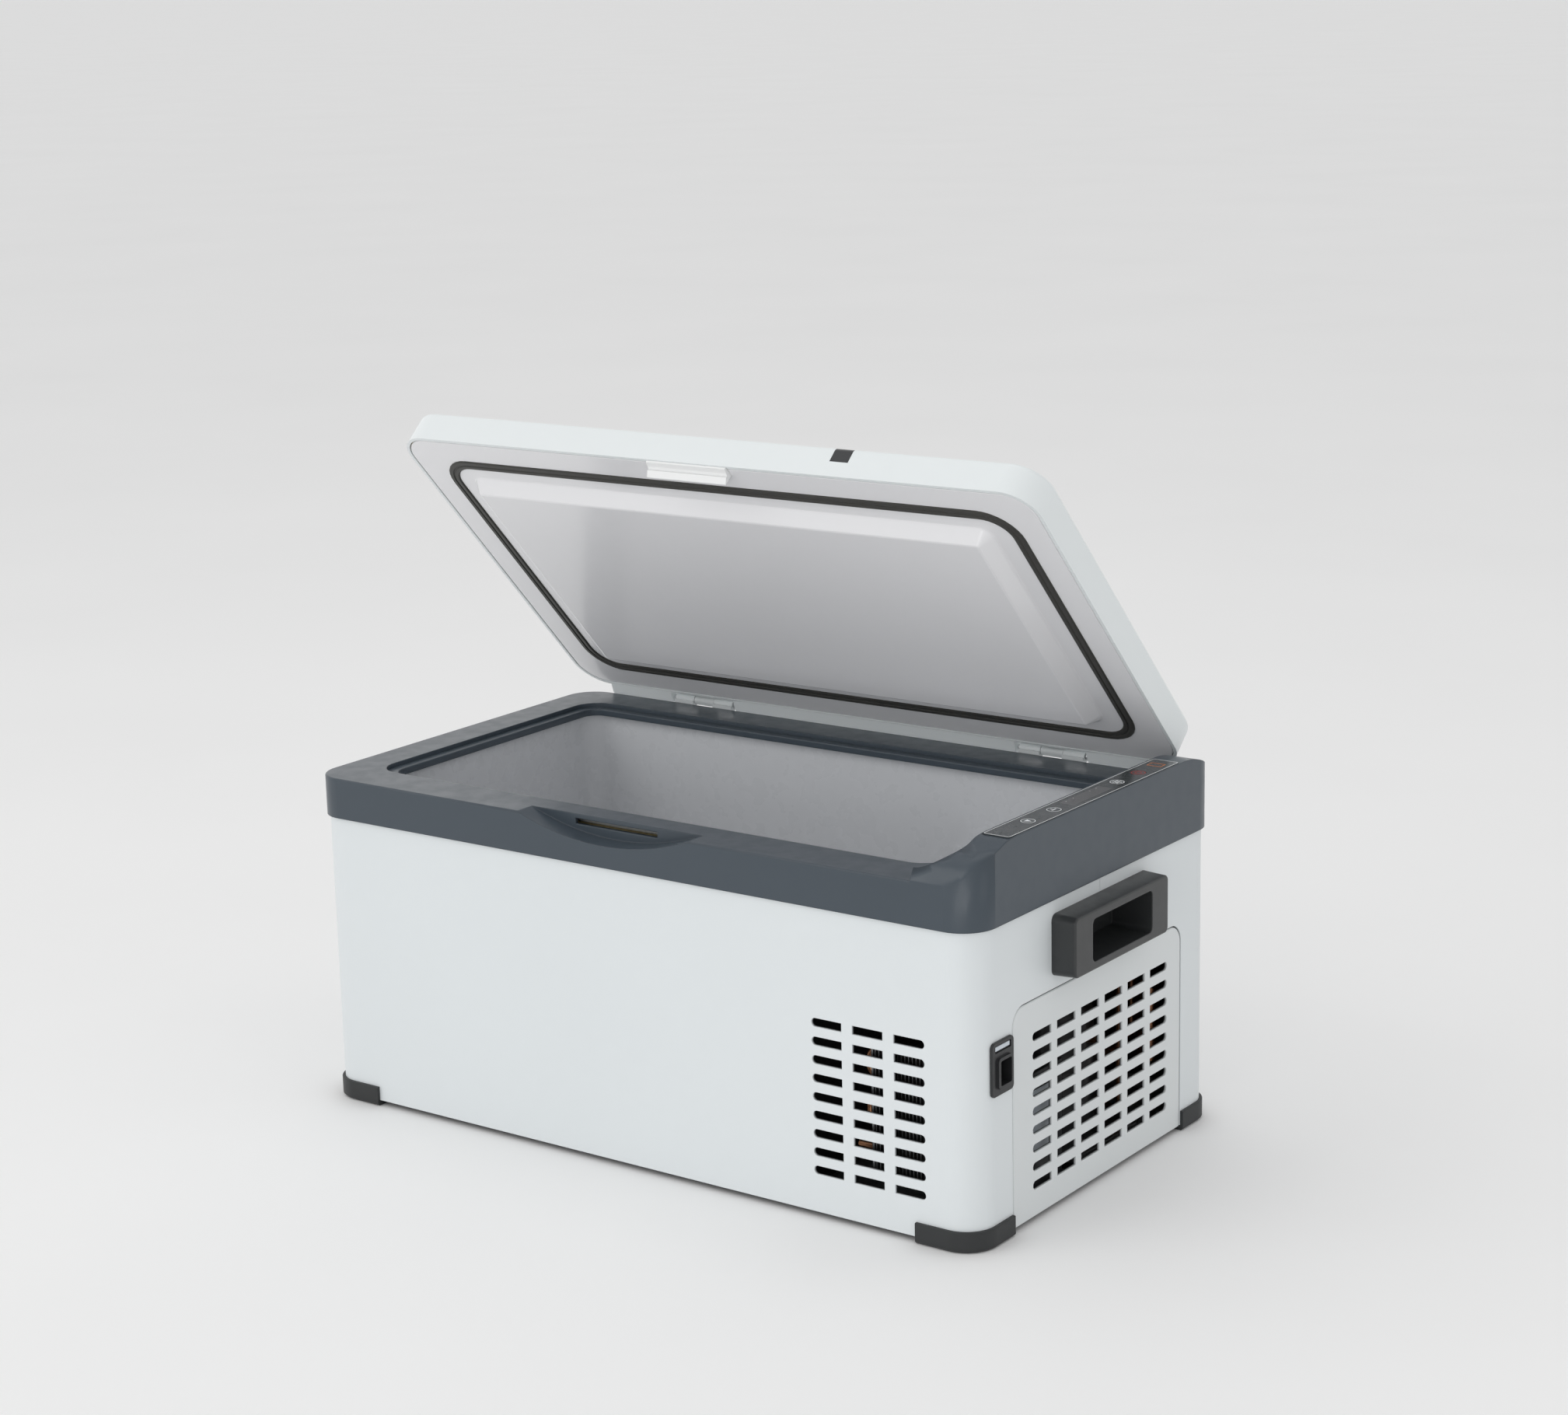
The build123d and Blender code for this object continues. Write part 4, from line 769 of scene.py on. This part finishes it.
FLOOR_RADIUS = 120.0
FLOOR_GAP = 0.0002
bm = bmesh.new()
bmesh.ops.create_circle(bm, cap_ends=True, segments=96, radius=FLOOR_RADIUS)
floor_mesh = bpy.data.meshes.new("floor")
bm.to_mesh(floor_mesh)
bm.free()
floor = bpy.data.objects.new("floor", floor_mesh)
bpy.context.scene.collection.objects.link(floor)
floor.location.z = -FLOOR_GAP
dress(floor, floor_material())

# A sky brighter on the left than on the right, and dimmer overhead
SKY_LEFT, SKY_RIGHT, SKY_TOP = 1.03, 0.66, 0.80
world = bpy.data.worlds.new("studio")
bpy.context.scene.world = world
world.use_nodes = True
sky = world.node_tree
background = sky.nodes["Background"]
background.inputs[1].default_value = 1.0
direction = sky.nodes.new("ShaderNodeTexCoord")
axes = sky.nodes.new("ShaderNodeSeparateXYZ")
sky.links.new(direction.outputs["Generated"], axes.inputs[0])


def sky_range(source, values):
    """Output of a Map Range node: from low, from high, to low, to high."""
    node = sky.nodes.new("ShaderNodeMapRange")
    for index, value in enumerate(values):
        node.inputs[index + 1].default_value = value
    sky.links.new(source, node.inputs[0])
    return node.outputs[0]


across = sky_range(axes.outputs["X"], (-1.0, 1.0, SKY_LEFT, SKY_RIGHT))
overhead = sky_range(axes.outputs["Z"], (0.1, 1.0, 1.0, SKY_TOP))
level = sky.nodes.new("ShaderNodeMath")
level.operation = "MULTIPLY"
sky.links.new(across, level.inputs[0])
sky.links.new(overhead, level.inputs[1])
sky.links.new(level.outputs[0], background.inputs[0])


def softbox(name, position, target, size, power, colour=(1, 1, 1)):
    light = bpy.data.lights.new(name, "AREA")
    light.shape = "RECTANGLE"
    light.size, light.size_y = size
    light.energy = power
    light.color = colour
    holder = bpy.data.objects.new(name, light)
    bpy.context.scene.collection.objects.link(holder)
    holder.location = position
    towards = Vector(target) - Vector(position)
    holder.rotation_euler = towards.to_track_quat("-Z", "Y").to_euler()


WARM, COOL = (1.0, 0.995, 0.98), (0.98, 0.99, 1.0)
softbox("key_light", (-1.3, -2.0, 2.1), (0, 0, 0.15), (1.8, 1.4), 9, WARM)
softbox("side_light", (2.4, -0.6, 1.3), (0.1, 0, 0.15), (1.2, 1.4), 2, COOL)
softbox("top_light", (0.1, 0.5, 2.6), (0, 0, 0.2), (2.0, 1.4), 5)
softbox("lid_fill", (0.9, -2.6, 0.5), (0, 0.05, 0.38), (1.4, 0.8), 7)

scene = bpy.context.scene
scene.view_settings.view_transform = "Standard"
scene.view_settings.look = "None"

# The camera's place is given over the footprint's middle, its angles in degrees
CAMERA_PLACE = (1.3182, -1.77586, 0.82607)
AZIMUTH, ELEVATION, ROLL = (math.radians(angle) for angle in (36.04, 13.39, -1.334))
LENS, SENSOR = 72.76, 36.0
CLIP = (0.05, 400.0)
camera_data = bpy.data.cameras.new("camera")
camera_data.sensor_width = SENSOR
camera_data.lens = LENS
camera_data.clip_start, camera_data.clip_end = CLIP
camera = bpy.data.objects.new("camera", camera_data)
scene.collection.objects.link(camera)
back = Vector((
    math.sin(AZIMUTH) * math.cos(ELEVATION), -math.cos(AZIMUTH) * math.cos(ELEVATION),
    math.sin(ELEVATION),
))
right = Vector((math.cos(AZIMUTH), math.sin(AZIMUTH), 0))
up = back.cross(right)
right_rolled = right * math.cos(ROLL) + up * math.sin(ROLL)
up_rolled = up * math.cos(ROLL) - right * math.sin(ROLL)
turned = Matrix((right_rolled, up_rolled, back)).transposed()
camera.matrix_world = Matrix.Translation(upright(*CAMERA_PLACE)) @ turned.to_4x4()
scene.camera = camera
